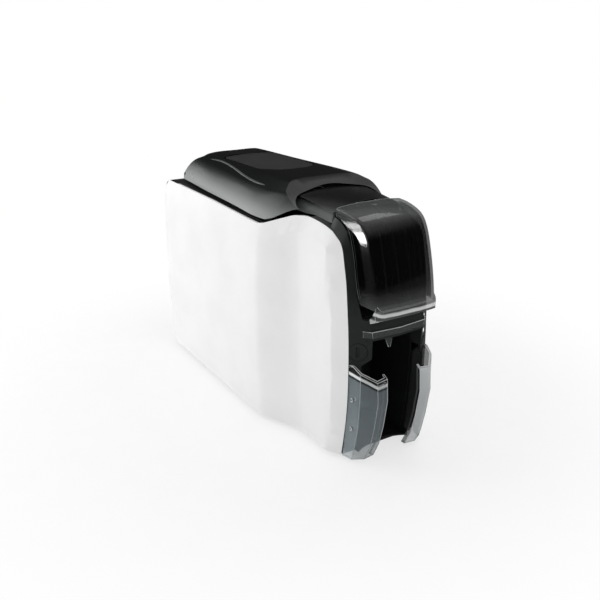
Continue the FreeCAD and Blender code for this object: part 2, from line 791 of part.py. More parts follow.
def feeder_cap():
    """Black crowned cap over the back of the hopper, with the middle hinge knuckle."""
    outer = Part.makeLoft([cap_section(row, 0) for row in CAP_STATION_SHARES], True, True)
    inner = Part.makeLoft([cap_section(row, CLEAR_WALL) for row in CAP_STATION_SHARES], True, True)
    front_y = HOOD_HINGE_Y + CAP_FRONT_GAP
    outer = common(outer, box(-WIDTH, WIDTH, front_y, 0, 0, 2 * HEIGHT))
    shell = cut(outer, [inner, face_prism(0, FACE_HALF_WIDTH)])
    seat = box(-WIDTH, WIDTH, -DEPTH, DEPTH, 0, CAP_DROP_Z + CLEAR_WALL)
    shell = cut(shell, [seat])
    half = HOOD_KNUCKLE_HALF
    shell = join([shell] + knuckle(-half, half, HOOD_KNUCKLE_WEB))
    return cut(shell, [hood_pin_bore(HOOD_PIN_RADIUS)])


def hood_section(x, inset, reach):
    """Side outline of the hood at x; its crown follows a parabola across the width."""
    bulge = HOOD_CROWN * (1 - (x / reach) ** 2)
    points = offset_points(side_points(HOOD_EDGE_SHARES, x), inset - bulge)
    points = [V(x, point.y, point.z) for point in reversed(points)]
    back = FRAME_FRONT_Y
    low = points[0].z
    edges = [
        curve(points),
        Part.makeLine(points[-1], V(x, back, points[-1].z)),
        Part.makeLine(V(x, back, points[-1].z), V(x, back, low)),
        Part.makeLine(V(x, back, low), points[0]),
    ]
    return Part.Wire(edges)


def hood_block(inset):
    """Crowned block under the hood's skin, its skin moved in by inset."""
    reach = HOOD_BACK_HALF + OVERRUN
    places = [-reach, -reach / 2, 0, reach / 2, reach]
    block = Part.makeLoft([hood_section(x, inset, reach) for x in places], True, False)
    block = common(block, hood_wedge(inset))
    corners = [edge for edge in block.Edges if edge.Length > CARD_LENGTH and is_bent(edge)]
    return block.makeFillet(HOOD_EDGE_RADIUS - inset / 2, corners)


def hood_wedge(inset):
    """Upright wedge between the hood's side walls, narrower towards the front."""
    seam_y, front_y = HOOD_HINGE_Y, -HALF_DEPTH
    slope = (HOOD_FRONT_HALF - HOOD_BACK_HALF) / (front_y - seam_y)
    ends = []
    for y in (FRAME_FRONT_Y, front_y - OVERRUN):
        ends.append((HOOD_BACK_HALF - inset + slope * (y - seam_y), y))
    (back, back_y), (front, fore_y) = ends
    outline = [V(-back, back_y, 0), V(back, back_y, 0), V(front, fore_y, 0), V(-front, fore_y, 0)]
    return prism(outline, V(0, 0, 2 * HEIGHT))


def hood_lip():
    """Thick clear lip along the hood's bottom edge, which the fingers lift."""
    reach = HOOD_BACK_HALF + OVERRUN
    wires = []
    for x in (-reach, -reach / 2, 0, reach / 2, reach):
        bulge = HOOD_CROWN * (1 - (x / reach) ** 2)
        points = [V(x, point.y - bulge, point.z) for point in side_points(HOOD_LIP_SHARES, x)]
        wires.append(polygon(points))
    return common(Part.makeLoft(wires, True, False), hood_wedge(0).common(lip_plan()))


def lip_plan():
    """Plan outline that rounds the lip's two front corners."""
    block = box(-HOOD_BACK_HALF, HOOD_BACK_HALF, -HALF_DEPTH, 0, 0, HEIGHT)
    inner = HOOD_FRONT_HALF - HOOD_LIP_CORNER
    corner = box(inner, WIDTH, -DEPTH, -HALF_DEPTH + HOOD_LIP_CORNER, 0, HEIGHT)
    corner = cut(corner, [rod_z(inner, -HALF_DEPTH + HOOD_LIP_CORNER, 0, HEIGHT, HOOD_LIP_CORNER)])
    return cut(block, [corner, mirrored(corner)])


def hood_back_cutter():
    """Everything behind the line where the hood's side walls meet the front face."""
    points = side_points(HOOD_BACK_SHARES, -WIDTH)
    back_y = HOOD_HINGE_Y - HOOD_BACK_GAP
    top_z = 2 * HEIGHT
    last = points[-1]
    closing = [V(-WIDTH, last.y, 0), V(-WIDTH, DEPTH, 0), V(-WIDTH, DEPTH, top_z), V(-WIDTH, back_y, top_z),
               V(-WIDTH, back_y, points[0].z)]
    return curved_face(points, closing).extrude(V(2 * WIDTH, 0, 0))


def hood():
    """Smoky hood over the hopper: a thin crowned shell with a lip, ribs and two hinge knuckles."""
    outer = hood_block(0)
    inner = hood_block(CLEAR_WALL)
    back = hood_back_cutter()
    ribs = []
    first = -HOOD_RIB_PITCH * (HOOD_RIB_COUNT - 1) / 2
    for index in range(HOOD_RIB_COUNT):
        x = first + index * HOOD_RIB_PITCH
        strip = box(x, x + HOOD_RIB_THICKNESS, -DEPTH, FRAME_FRONT_Y, HOPPER_FLOOR_Z, HEIGHT)
        ribs.append(common(cut(inner, [hood_block(CLEAR_WALL + HOOD_RIB_DEPTH)]), strip))
    shell = cut(outer, [inner])
    pieces = [shell, hood_lip()] + ribs
    whole = cut(join(pieces), [back])
    half = HOOD_KNUCKLE_HALF + SEAM_GAP
    far = half + HOOD_KNUCKLE_WIDTH
    web = -HOOD_KNUCKLE_WEB
    whole = join([whole] + knuckle(half, far, web) + knuckle(-far, -half, web))
    notch_y = HOOD_HINGE_Y - HOOD_HINGE_RADIUS - SEAM_GAP
    notch = box(-half, half, notch_y, 0, HOOD_HINGE_Z - 2 * HOOD_HINGE_RADIUS, HEIGHT)
    return cut(whole, [hood_pin_bore(HOOD_PIN_RADIUS + SHAFT_PLAY), notch])


def hood_hinge_pin():
    """Steel pin through the knuckles of cap and hood."""
    half = HOOD_KNUCKLE_HALF + SEAM_GAP + HOOD_KNUCKLE_WIDTH
    return rod_x(-half, half, HOOD_HINGE_Y, HOOD_HINGE_Z, HOOD_PIN_RADIUS)


def guard_section(row):
    """Thin plan outline of the left output guard at one height, from seam to inner lip."""
    z_share, seam, facet, front, inner = row
    z = z_share * HEIGHT
    outer = [
        (-GUARD_SEAM_HALF, seam * DEPTH),
        (-GUARD_FACET_HALF, facet * DEPTH),
        (-GUARD_FRONT_HALF, front * DEPTH),
        (-GUARD_INNER_HALF, inner * DEPTH),
    ]
    wall = CLEAR_WALL
    lip = GUARD_LIP
    (x0, y0), (x1, y1), (x2, y2), (x3, y3) = outer
    points = [
        V(x0, y0, z), V(x1, y1, z), V(x2, y2, z), V(x3, y3, z), V(x3, y3 + lip, z), V(x3 - wall, y3 + lip, z),
        V(x3 - wall, y3 + wall, z), V(x2 + wall / 2, y2 + wall, z), V(x1 + wall, y1 + wall / 2, z),
        V(x0 + wall, y0, z),
    ]
    return polygon(points)


def output_guard():
    """Smoky left guard of the output bin: a faceted, bowed cheek with a turned-in front lip."""
    shell = Part.makeLoft([guard_section(row) for row in GUARD_STATION_SHARES], True, True)
    seam_y = min(row[1] for row in GUARD_STATION_SHARES) * DEPTH
    front_y = -HALF_DEPTH
    back_z, front_z = GUARD_TOP_SHARE * HEIGHT, GUARD_FRONT_TOP_SHARE * HEIGHT
    facet_y = GUARD_STATION_SHARES[-1][2] * DEPTH
    top = [V(-WIDTH, DEPTH, back_z), V(-WIDTH, seam_y - OVERRUN, back_z), V(-WIDTH, facet_y, back_z - OVERRUN),
           V(-WIDTH, front_y, front_z), V(-WIDTH, -DEPTH, front_z), V(-WIDTH, -DEPTH, HEIGHT),
           V(-WIDTH, DEPTH, HEIGHT)]
    shell = cut(shell, [prism(top, V(2 * WIDTH, 0, 0))])
    bosses = []
    boss_end = 2 * CLEAR_WALL - GUARD_SEAM_HALF
    for z in (GUARD_BOSS_LOW_Z, GUARD_BOSS_HIGH_Z):
        bosses.append(rod_x(-GUARD_SEAM_HALF, boss_end, seam_y - OVERRUN, z, GUARD_BOSS_RADIUS))
    shell = join([shell] + bosses)
    return cut(shell, [front_fascia()])


def cheek_slab(proud, sunk, x0, x1, z0, z1):
    """Slab that follows the chin's surface: from sunk behind it to proud in front of it."""
    front = Part.makeLoft([chin_section(row) for row in CHIN_STATION_SHARES], True, True)
    slab = box(x0, x1, -DEPTH, 0, z0, z1)
    outer = front.copy()
    outer.translate(V(0, -proud, 0))
    inner = front.copy()
    inner.translate(V(0, sunk, 0))
    return common(cut(outer, [inner]), slab)


def exit_ledge():
    """Rounded ledge across the top of the exit, standing proud of the chin."""
    ledge = cheek_slab(LEDGE_PROUD, 0, -LEDGE_HALF, LEDGE_HALF, LEDGE_BOTTOM_Z, LEDGE_TOP_Z)
    return ledge


def exit_tongue():
    """Small clear tongue under the ledge that steers a leaving card down into the bin."""
    half = EXIT_TONGUE_WIDTH / 2
    y = CHIN_STATION_SHARES[1][1][3][1] * DEPTH + WALL
    outline = [
        V(EXIT_TONGUE_X - half, y, BIN_ROOF_Z), V(EXIT_TONGUE_X + half, y, BIN_ROOF_Z),
        V(EXIT_TONGUE_X + half / 2, y, BIN_ROOF_Z - EXIT_TONGUE_DROP),
        V(EXIT_TONGUE_X, y, BIN_ROOF_Z - EXIT_TONGUE_DROP),
    ]
    return prism(outline, V(0, EXIT_TONGUE_THICKNESS, 0))


def lock_disc(play):
    """Round blanking disc of the lock place on the left cheek, square to the slanted face."""
    row = CHIN_STATION_SHARES[0][1]
    (x0, y0), (x1, y1) = row[0], row[2]
    run = V(-(x1 - x0) * HALF_WIDTH, (y1 - y0) * DEPTH, 0)
    run.normalize()
    inward = V(-run.y, run.x, 0)
    share = (DISC_X + x0 * HALF_WIDTH) / ((x0 - x1) * HALF_WIDTH)
    middle_y = (y0 + share * (y1 - y0)) * DEPTH
    start = V(DISC_X, middle_y, DISC_Z).sub(V(inward).multiply(DISC_DEPTH))
    return Part.makeCylinder(DISC_RADIUS + play, 2 * DISC_DEPTH, start, inward)


def lock_plug():
    """Disc flush with the cheek, with a straight key slot."""
    disc = lock_disc(0)
    skin = common(disc, cheek_slab(0, DISC_DEPTH, -FACE_HALF_WIDTH, 0, 0, HEIGHT))
    half_width, half_length = DISC_SLOT_WIDTH / 2, DISC_SLOT_LENGTH / 2
    low_z, high_z = DISC_Z - half_length, DISC_Z + half_length
    slot = box(DISC_X - half_width, DISC_X + half_width, -DEPTH, 0, low_z, high_z)
    shallow = cheek_slab(0, DISC_SLOT_WIDTH / 2, -FACE_HALF_WIDTH, 0, 0, HEIGHT)
    return cut(skin, [common(slot, shallow)])


def indicator_panel():
    """Slim panel on the right cheek with windows for three lights and the button."""
    slab = cheek_slab(0, PANEL_THICKNESS, PANEL_LEFT_X, PANEL_RIGHT_X, PANEL_LOW_Z, PANEL_HIGH_Z)
    windows = [light_block(index, 0) for index in range(LIGHT_COUNT)]
    return cut(slab, windows + [button_shaft(SEAM_GAP)])


def light_block(index, play):
    """Through block of one of the square lights."""
    x = (PANEL_LEFT_X + PANEL_RIGHT_X) / 2
    z = LIGHT_LOW_Z + index * LIGHT_PITCH
    half = LIGHT_SIDE / 2 + play
    return box(x - half, x + half, -DEPTH, 0, z - half, z + half)


def status_lights():
    """Three square light pipes, flush with the indicator panel."""
    slab = cheek_slab(0, PANEL_THICKNESS + WALL, -WIDTH, WIDTH, 0, HEIGHT)
    return [common(light_block(index, 0), slab) for index in range(LIGHT_COUNT)]


def button_shaft(play):
    """Through block of the button's cap, with round corners."""
    x = (PANEL_LEFT_X + PANEL_RIGHT_X) / 2
    half_width, half_height = BUTTON_WIDTH / 2 + play, BUTTON_HEIGHT / 2 + play
    block = box(x - half_width, x + half_width, -DEPTH, 0, BUTTON_Z - half_height, BUTTON_Z + half_height)
    edges = edges_along(block.Edges, Y_AXIS)
    return block.makeFillet(BUTTON_HEIGHT / 4, edges)


def button_well():
    """Room behind the button for its flange and its travel."""
    x = (PANEL_LEFT_X + PANEL_RIGHT_X) / 2
    half_width = BUTTON_WIDTH / 2 + BUTTON_FLANGE + SEAM_GAP
    half_height = BUTTON_HEIGHT / 2 + BUTTON_FLANGE + SEAM_GAP
    reach = PANEL_THICKNESS + BUTTON_FLANGE + BUTTON_TRAVEL + SEAM_GAP
    slab = cheek_slab(0, reach, -WIDTH, WIDTH, 0, HEIGHT)
    low_z, high_z = BUTTON_Z - half_height, BUTTON_Z + half_height
    return common(slab, box(x - half_width, x + half_width, -DEPTH, 0, low_z, high_z))


def power_button():
    """Button with a retaining flange behind the indicator panel."""
    x = (PANEL_LEFT_X + PANEL_RIGHT_X) / 2
    depth = PANEL_THICKNESS + BUTTON_FLANGE / 2 + SEAM_GAP / 2
    cap = common(button_shaft(0), cheek_slab(BUTTON_PROUD, depth, -WIDTH, WIDTH, 0, HEIGHT))
    half_width, half_height = BUTTON_WIDTH / 2 + BUTTON_FLANGE, BUTTON_HEIGHT / 2 + BUTTON_FLANGE
    wide = box(x - half_width, x + half_width, -DEPTH, 0, BUTTON_Z - half_height, BUTTON_Z + half_height)
    near = -PANEL_THICKNESS - BUTTON_REST_GAP
    behind = cheek_slab(near, depth + BUTTON_FLANGE / 2, -WIDTH, WIDTH, 0, HEIGHT)
    return join([cap, common(wide, behind)])


def fascia_with_fittings():
    """Front fascia with the seats of the ledge, the disc and the indicator panel."""
    seat = cheek_slab(0, PANEL_THICKNESS, PANEL_LEFT_X, PANEL_RIGHT_X, PANEL_LOW_Z, PANEL_HIGH_Z)
    windows = [light_block(index, 0) for index in range(LIGHT_COUNT)]
    return cut(front_fascia(), [lock_disc(0), seat, button_well()] + windows)


def output_bin():
    """Liner of the output bin: floor with a finger scoop, side walls and a slotted back."""
    half, wall = BIN_HALF, THIN_WALL
    low, high = BIN_FLOOR_Z - BIN_FLOOR, BIN_ROOF_Z
    outer = box(-half - wall, half + wall, BIN_FRONT_Y, BIN_REAR_Y + wall, low, high)
    inner = box(-half, half, -DEPTH, BIN_REAR_Y, BIN_FLOOR_Z, high + OVERRUN)
    slot_low = TRACK_Z - EXIT_SLOT_HEIGHT / 2
    slot = box(-CHANNEL_HALF, CHANNEL_HALF, BIN_REAR_Y - OVERRUN, 0, slot_low, HEIGHT)
    scoop_y = BIN_FRONT_Y - BIN_FLOOR_SCOOP + 2 * BIN_FLOOR + 2 * OVERRUN
    scoop = rod_z(0, scoop_y, 0, HEIGHT, BIN_FLOOR_SCOOP)
    tray = cut(outer, [inner, slot, scoop])
    face = face_prism(WALL, WIDTH)
    walls = common(tray, face)
    floor = common(tray, box(-WIDTH, WIDTH, -DEPTH, 0, 0, FACE_SHARES[0][1] * HEIGHT + 2 * WALL))
    return join([walls, floor])


def hopper_tray():
    """Input hopper: sloped floor with a pick window, ribbed side walls and no front."""
    half, wall = CHANNEL_HALF, THIN_WALL
    rib = HOPPER_RIB_DEPTH
    outer_half = half + rib + wall
    floor_z = HOPPER_FLOOR_Z
    slope = GATE_THICKNESS
    front_y, rear_y = HOPPER_FRONT_Y + GATE_HEIGHT / 2, HOPPER_REAR_Y + GATE_THICKNESS
    floor_points = [V(-outer_half, front_y, floor_z), V(-outer_half, rear_y, floor_z - slope),
                    V(-outer_half, rear_y, floor_z - slope - wall), V(-outer_half, front_y, floor_z - wall)]
    floor = prism(floor_points, V(2 * outer_half, 0, 0))
    pieces = [floor]
    back = max(point[0] for point in FACE_SHARES[:4]) * DEPTH
    for side in (-1, 1):
        x0, x1 = sorted((side * outer_half, side * (outer_half - wall)))
        pieces.append(box(x0, x1, back, rear_y, floor_z - slope - wall, HOPPER_TOP_Z))
        pitch = (rear_y - back) / HOPPER_RIB_COUNT
        for index in range(HOPPER_RIB_COUNT):
            y = back + (index + 1 / 2) * pitch
            r0, r1 = sorted((side * half, side * (half + rib + wall / 2)))
            pieces.append(box(r0, r1, y, y + HOPPER_RIB_WIDTH, floor_z - slope, HOPPER_TOP_Z))
    tray = join(pieces)
    window_half = PICK_ROLLER_LENGTH / 2 + MOVING_GAP
    window_radius = PICK_ROLLER_RADIUS + MOVING_GAP
    window_front, window_rear = PICK_ROLLER_Y - window_radius, PICK_ROLLER_Y + window_radius
    window = box(-window_half, window_half, window_front, window_rear, 0, floor_z)
    inside = face_prism(WALL, WIDTH)
    chin = chin_block()
    clear = cut(common(tray, join([inside, chin])), [window])
    return clear


def pick_height():
    """Height of the pick roller's axis, its crown a little above the sloped floor."""
    run = (PICK_ROLLER_Y - HOPPER_FRONT_Y) / (HOPPER_REAR_Y - HOPPER_FRONT_Y)
    floor = HOPPER_FLOOR_Z - GATE_THICKNESS * run
    return floor + PICK_PROUD - PICK_ROLLER_RADIUS


def card_gate():
    """Cross wall at the back of the hopper that lets one card at a time through."""
    half = CHANNEL_HALF + HOPPER_RIB_DEPTH
    low = HOPPER_FLOOR_Z - GATE_THICKNESS + 2 * CARD_THICKNESS
    wall = box(-half, half, HOPPER_REAR_Y, HOPPER_REAR_Y + GATE_THICKNESS / 2, low, HOPPER_TOP_Z)
    ribs = []
    for index in range(HOPPER_RIB_COUNT):
        x = -half / 2 + half * index / (HOPPER_RIB_COUNT - 1)
        rear = HOPPER_REAR_Y + GATE_THICKNESS
        ribs.append(box(x, x + HOPPER_RIB_WIDTH, HOPPER_REAR_Y, rear, low, HOPPER_TOP_Z))
    return join([wall] + ribs)


def plan_outline(inset, z, rear_y):
    """Closed plan outline inside both side panels, inset from their feet."""
    points = []
    for row in PANEL_STATION_SHARES:
        y_share, foot = row[0], row[1]
        y = y_share * DEPTH
        if y < rear_y and y > FACE_SHARES[0][0] * DEPTH + FOOT_INSET:
            points.append(V(foot * HALF_WIDTH - inset, y, z))
    first = points[0]
    points = [V(first.x, rear_y, z)] + points
    last = points[-1]
    front = V(GUARD_SEAM_HALF - inset, last.y, z)
    tail = V(front.x, FACE_SHARES[0][0] * DEPTH + WALL + SEAM_GAP, z)
    points = points + [front, tail]
    left = [V(-point.x, point.y, z) for point in reversed(points)]
    return points + left


def base_tray():
    """Black base tray with a low rim, air slots, foot seats and screw bosses."""
    inset = WALL + SEAM_GAP
    low = FOOT_HEIGHT
    rear = REAR_COVER_Y - SEAM_GAP
    outer = prism(plan_outline(inset, low, rear), V(0, 0, TRAY_RIM_Z - low))
    inner = prism(plan_outline(inset + THIN_WALL, low + TRAY_FLOOR, rear - THIN_WALL), V(0, 0, TRAY_RIM_Z))
    front_wall = FACE_SHARES[0][0] * DEPTH + WALL
    bin_room = box(-BIN_HALF - THIN_WALL, BIN_HALF + THIN_WALL, -DEPTH, BIN_REAR_Y + THIN_WALL,
                   low + TRAY_FLOOR, HEIGHT)
    mouth = box(-GUARD_SEAM_HALF, GUARD_SEAM_HALF, front_wall - OVERRUN, front_wall + 2 * WALL,
                low + TRAY_FLOOR, HEIGHT)
    slots = []
    for index in range(VENT_COUNT):
        y = BAY_FRONT_Y + 2 * VENT_PITCH * index
        slots.append(box(-VENT_WIDTH / 2, VENT_WIDTH / 2, y, y + VENT_HEIGHT, 0, low + 2 * TRAY_FLOOR))
    seats = [rod_z(x, y, 0, FOOT_HEIGHT + TRAY_FLOOR / 2, FOOT_RADIUS) for x, y in foot_places()]
    corner = box(REAR_COVER_HALF - SEAM_GAP, WIDTH, FRAME_REAR_Y, DEPTH, 0, HEIGHT)
    tray = cut(outer, [inner, bin_room, mouth, corner, mirrored(corner)] + slots + seats)
    return cut(join([tray] + screw_rails()), screw_bores())


def screw_bores():
    """Threaded holes of the rear cover's screws."""
    return [rod_y(x, 0, DEPTH, z, SCREW_SHANK_RADIUS) for x, z in screw_places()]


def foot_places():
    """Middles of the four feet."""
    rear_x = PANEL_STATION_SHARES[2][1] * HALF_WIDTH - WALL - FOOT_INSET
    front_x = GUARD_SEAM_HALF - WALL - FOOT_INSET
    rear_y = REAR_COVER_Y - FOOT_INSET
    front_y = FACE_SHARES[0][0] * DEPTH + FOOT_INSET
    return [(-rear_x, rear_y), (rear_x, rear_y), (-front_x, front_y), (front_x, front_y)]


def rubber_feet():
    """Four round rubber feet let into the tray."""
    feet = []
    for x, y in foot_places():
        foot = rod_z(x, y, 0, FOOT_HEIGHT + TRAY_FLOOR / 2, FOOT_RADIUS)
        rim = [edge for edge in foot.Edges if edge.CenterOfMass.z < FOOT_HEIGHT / 2]
        upright = edges_along(rim, Z_AXIS)
        rim = [edge for edge in rim if edge.Length > FOOT_RADIUS and edge not in upright]
        feet.append(single(foot.makeChamfer(FOOT_HEIGHT / 3, rim)))
    return feet


def top_deck():
    """Ledge round the top, between the side panels, with the bay the lid closes."""
    inset = 2 * WALL
    low = DECK_TOP_Z - DECK_THICKNESS
    points = []
    for row in PANEL_STATION_SHARES:
        y = row[0] * DEPTH
        if DECK_FRONT_Y < y < DECK_REAR_Y:
            points.append(V(row[4] * HALF_WIDTH - inset, y, low))
    rear_point, front_point = V(points[0].x - inset, DECK_REAR_Y, low), V(points[-1].x - inset, DECK_FRONT_Y, low)
    points = [rear_point] + points + [front_point]
    outline = points + [V(-point.x, point.y, low) for point in reversed(points)]
    plate = prism(outline, V(0, 0, DECK_THICKNESS))
    bay = box(-BAY_HALF, BAY_HALF, BAY_FRONT_Y, BAY_REAR_Y, 0, HEIGHT)
    curb_outer = box(-BAY_HALF - THIN_WALL, BAY_HALF + THIN_WALL, DECK_FRONT_Y, BAY_REAR_Y + THIN_WALL,
                     low - 2 * DECK_THICKNESS, low + DECK_THICKNESS / 2)
    plate = join([plate, curb_outer])
    pieces = [cut(plate, [bay])]
    for side in (-1, 1):
        x0, x1 = sorted((side * LID_DECK_EAR_X, side * (LID_DECK_EAR_X + LID_EAR_THICKNESS)))
        pieces.append(hinge_ear(x0, x1, DECK_TOP_Z - DECK_THICKNESS / 2))
    return cut(join(pieces), [lid_pin_bore(LID_PIN_RADIUS)])


def hinge_ear(x0, x1, foot_z):
    """Ear of the lid's hinge, standing on or hanging from foot_z."""
    barrel = rod_x(x0, x1, LID_HINGE_Y, LID_HINGE_Z, LID_EAR_RADIUS)
    z0, z1 = sorted((foot_z, LID_HINGE_Z))
    web = box(x0, x1, LID_HINGE_Y - LID_EAR_RADIUS, LID_HINGE_Y + LID_EAR_RADIUS, z0, z1)
    return join([barrel, web])


def lid_pin_bore(radius):
    """Bore along the lid's hinge."""
    return rod_x(-WIDTH, WIDTH, LID_HINGE_Y, LID_HINGE_Z, radius)


def lid_hinge_pin():
    """Steel rod through all four ears."""
    return rod_x(-LID_PIN_HALF, LID_PIN_HALF, LID_HINGE_Y, LID_HINGE_Z, LID_PIN_RADIUS)


def socket_rooms(play):
    """Openings of the three sockets through the rear cover."""
    rooms = []
    for x, z, width, height in socket_places():
        half_width, half_height = width / 2 + play, height / 2 + play
        rooms.append(box(x - half_width, x + half_width, 0, DEPTH, z - half_height, z + half_height))
    return rooms


def socket_places():
    """Middle, width and height of the power, network and data sockets."""
    power = (DC_X, DC_Z, DC_SIDE, DC_SIDE)
    return [power, (LAN_X, LAN_Z, LAN_WIDTH, LAN_HEIGHT), (USB_X, USB_Z, USB_WIDTH, USB_HEIGHT)]


def rear_cover():
    """Black back wall with air slots, socket openings and screw seats."""
    half = REAR_COVER_HALF
    wall = box(-half, half, REAR_COVER_Y, REAR_COVER_Y + WALL, PANEL_FOOT_Z, REAR_COVER_TOP_Z)
    edges = edges_along(wall.Edges, Y_AXIS)
    wall = wall.makeFillet(OVERRUN, edges)
    slots = []
    for index in range(VENT_COUNT):
        z = VENT_LOW_Z + index * VENT_PITCH
        slots.append(box(-VENT_WIDTH / 2, VENT_WIDTH / 2, 0, DEPTH, z, z + VENT_HEIGHT))
    holes = [rod_y(x, REAR_COVER_Y - OVERRUN, HALF_DEPTH, z, SCREW_SHANK_RADIUS) for x, z in screw_places()]
    sinks = []
    sink_y = REAR_COVER_Y + WALL - SCREW_HEAD / 2
    for x, z in screw_places():
        sinks.append(rod_y(x, sink_y, HALF_DEPTH, z, SCREW_HEAD_RADIUS + SEAT))
    return cut(wall, slots + holes + sinks + socket_rooms(SOCKET_PLAY))


def screw_places():
    """Places of the four screws in the rear cover."""
    return [(x, z) for x in (-SCREW_X, SCREW_X) for z in (SCREW_LOW_Z, SCREW_HIGH_Z)]


def cover_screws():
    """Four screws with a cross recess."""
    screws = []
    seat_y = REAR_COVER_Y + WALL - SCREW_HEAD / 2
    for x, z in screw_places():
        head = rod_y(x, seat_y, seat_y + SCREW_HEAD, z, SCREW_HEAD_RADIUS)
        shank = rod_y(x, seat_y - SCREW_SHANK, seat_y, z, SCREW_SHANK_RADIUS)
        arm = SCREW_HEAD_RADIUS / 2
        thin = SCREW_SHANK_RADIUS / 4
        top = seat_y + SCREW_HEAD
        cross = [box(x - arm, x + arm, top - thin, DEPTH, z - thin, z + thin),
                 box(x - thin, x + thin, top - thin, DEPTH, z - arm, z + arm)]
        screws.append(cut(join([head, shank]), cross))
    return screws


def screw_rails():
    """Two upright rails behind the rear cover that take its screws and carry the deck."""
    rails = []
    low = FOOT_HEIGHT + TRAY_FLOOR
    high = DECK_TOP_Z - DECK_THICKNESS
    for side in (-1, 1):
        x0, x1 = side * SCREW_X - SCREW_BOSS_RADIUS, side * SCREW_X + SCREW_BOSS_RADIUS
        rails.append(box(x0, x1, REAR_COVER_Y - SCREW_SHANK - SEAM_GAP, REAR_COVER_Y - SEAM_GAP, low, high))
    return rails


def track_rollers():
    """Places along the track of the four driven rollers, front to back."""
    return {"exit": EXIT_ROLLER_Y, "front": FRONT_ROLLER_Y, "platen": PLATEN_Y, "rear": REAR_ROLLER_Y}


def frame_plate():
    """Left frame plate: steel, with shaft holes, notches for the spools and a lightening window."""
    points = [
        V(-FRAME_OUTER, FRAME_FRONT_Y, FRAME_BOTTOM_Z), V(-FRAME_OUTER, FRAME_REAR_Y, FRAME_BOTTOM_Z),
        V(-FRAME_OUTER, FRAME_REAR_Y, FRAME_TOP_Z), V(-FRAME_OUTER, DECK_FRONT_Y, FRAME_TOP_Z),
        V(-FRAME_OUTER, DECK_FRONT_Y, TRACK_Z + GATE_HEIGHT),
        V(-FRAME_OUTER, FRAME_FRONT_Y, TRACK_Z + GATE_HEIGHT),
    ]
    plate = prism(points, V(FRAME_THICKNESS, 0, 0))
    tools = [rod_x(-WIDTH, 0, y, TRACK_SHAFT_Z, BUSH_RADIUS) for y in track_rollers().values()]
    for y in (SUPPLY_Y, TAKEUP_Y):
        radius = SPOOL_BORE_RADIUS + MOVING_GAP
        tools.append(rod_x(-WIDTH, 0, y, SPOOL_Z, radius))
        tools.append(box(-WIDTH, 0, y - radius, y + radius, SPOOL_Z, HEIGHT))
    for y in (FRONT_ROLLER_Y, REAR_ROLLER_Y):
        tools.append(rod_x(-WIDTH, 0, y, PINCH_SHAFT_Z, PINCH_SHAFT_RADIUS + SHAFT_PLAY))
    tools.append(rod_x(-WIDTH, 0, CLEANING_ROLLER_Y, cleaning_height(), PINCH_SHAFT_RADIUS + SHAFT_PLAY))
    window_low, window_high = FRAME_BOTTOM_Z + GATE_HEIGHT, TRACK_SHAFT_Z - GATE_HEIGHT
    for low, high in ((EXIT_ROLLER_Y, FRONT_ROLLER_Y), (PLATEN_Y, REAR_ROLLER_Y)):
        tools.append(box(-WIDTH, 0, low, high, window_low, window_high))
    tools.append(rod_x(-WIDTH, 0, MOTOR_Y, TRACK_SHAFT_Z, MOTOR_BOSS_RADIUS))
    plate = cut(plate, tools)
    stud = rod_x(-FRAME_INNER, -LATCH_HOOK_X, latch_stud_y(), LATCH_STUD_Z, LATCH_STUD_RADIUS)
    return join([plate, stud])


def latch_stud_y():
    """The stud stands just behind the hook's nose."""
    return LATCH_Y + LATCH_HOOK_WIDTH / 2 + LATCH_NOSE + SEAT + LATCH_STUD_RADIUS


def frame_bushes():
    """Flanged bushes of the driven shafts, in both frame plates."""
    bushes = []
    for y in track_rollers().values():
        sleeve = rod_x(-FRAME_OUTER, -FRAME_INNER, y, TRACK_SHAFT_Z, BUSH_RADIUS)
        flange = rod_x(-FRAME_OUTER - BUSH_FLANGE, -FRAME_OUTER, y, TRACK_SHAFT_Z, BUSH_FLANGE_RADIUS)
        bore = rod_x(-WIDTH, 0, y, TRACK_SHAFT_Z, SHAFT_RADIUS + SHAFT_PLAY)
        bush = cut(join([sleeve, flange]), [bore])
        bushes.append(bush)
        bushes.append(mirrored(bush))
    return bushes


def pulley(y):
    """Flanged pulley on the left end of a driven shaft."""
    x1 = PULLEY_X
    x0 = x1 - PULLEY_WIDTH
    rim = PULLEY_RADIUS + PULLEY_FLANGE_RISE
    return [rod_x(x0, x1, y, TRACK_SHAFT_Z, PULLEY_RADIUS),
            rod_x(x0, x0 + PULLEY_FLANGE, y, TRACK_SHAFT_Z, rim),
            rod_x(x1 - PULLEY_FLANGE, x1, y, TRACK_SHAFT_Z, rim)]


def driven_shaft(y):
    """Steel shaft across both plates with its pulley and a flat at the far end."""
    far = FRAME_OUTER + BUSH_FLANGE + PULLEY_OFFSET
    shaft = rod_x(PULLEY_X - PULLEY_WIDTH, far, y, TRACK_SHAFT_Z, SHAFT_RADIUS)
    return join([shaft] + pulley(y))


def roller_sleeve(y):
    """Rubber sleeve pressed on a driven shaft."""
    half = ROLLER_LENGTH / 2
    sleeve = rod_x(-half, half, y, TRACK_SHAFT_Z, TRACK_ROLLER_RADIUS)
    rims = [edge for edge in sleeve.Edges if abs(edge.CenterOfMass.x) > half / 2]
    sleeve = sleeve.makeChamfer(SEAM_GAP, rims)
    return cut(sleeve, [rod_x(-half, half, y, TRACK_SHAFT_Z, SHAFT_RADIUS)])


def pinch_roller(y):
    """Idler above a driven roller: two short tyres on a thin shaft."""
    parts = [rod_x(-FRAME_OUTER, FRAME_OUTER, y, PINCH_SHAFT_Z, PINCH_SHAFT_RADIUS)]
    for side in (-1, 1):
        x0, x1 = sorted((side * PINCH_OFFSET, side * (PINCH_OFFSET - PINCH_LENGTH)))
        parts.append(rod_x(x0, x1, y, PINCH_SHAFT_Z, PINCH_RADIUS))
    return join(parts)


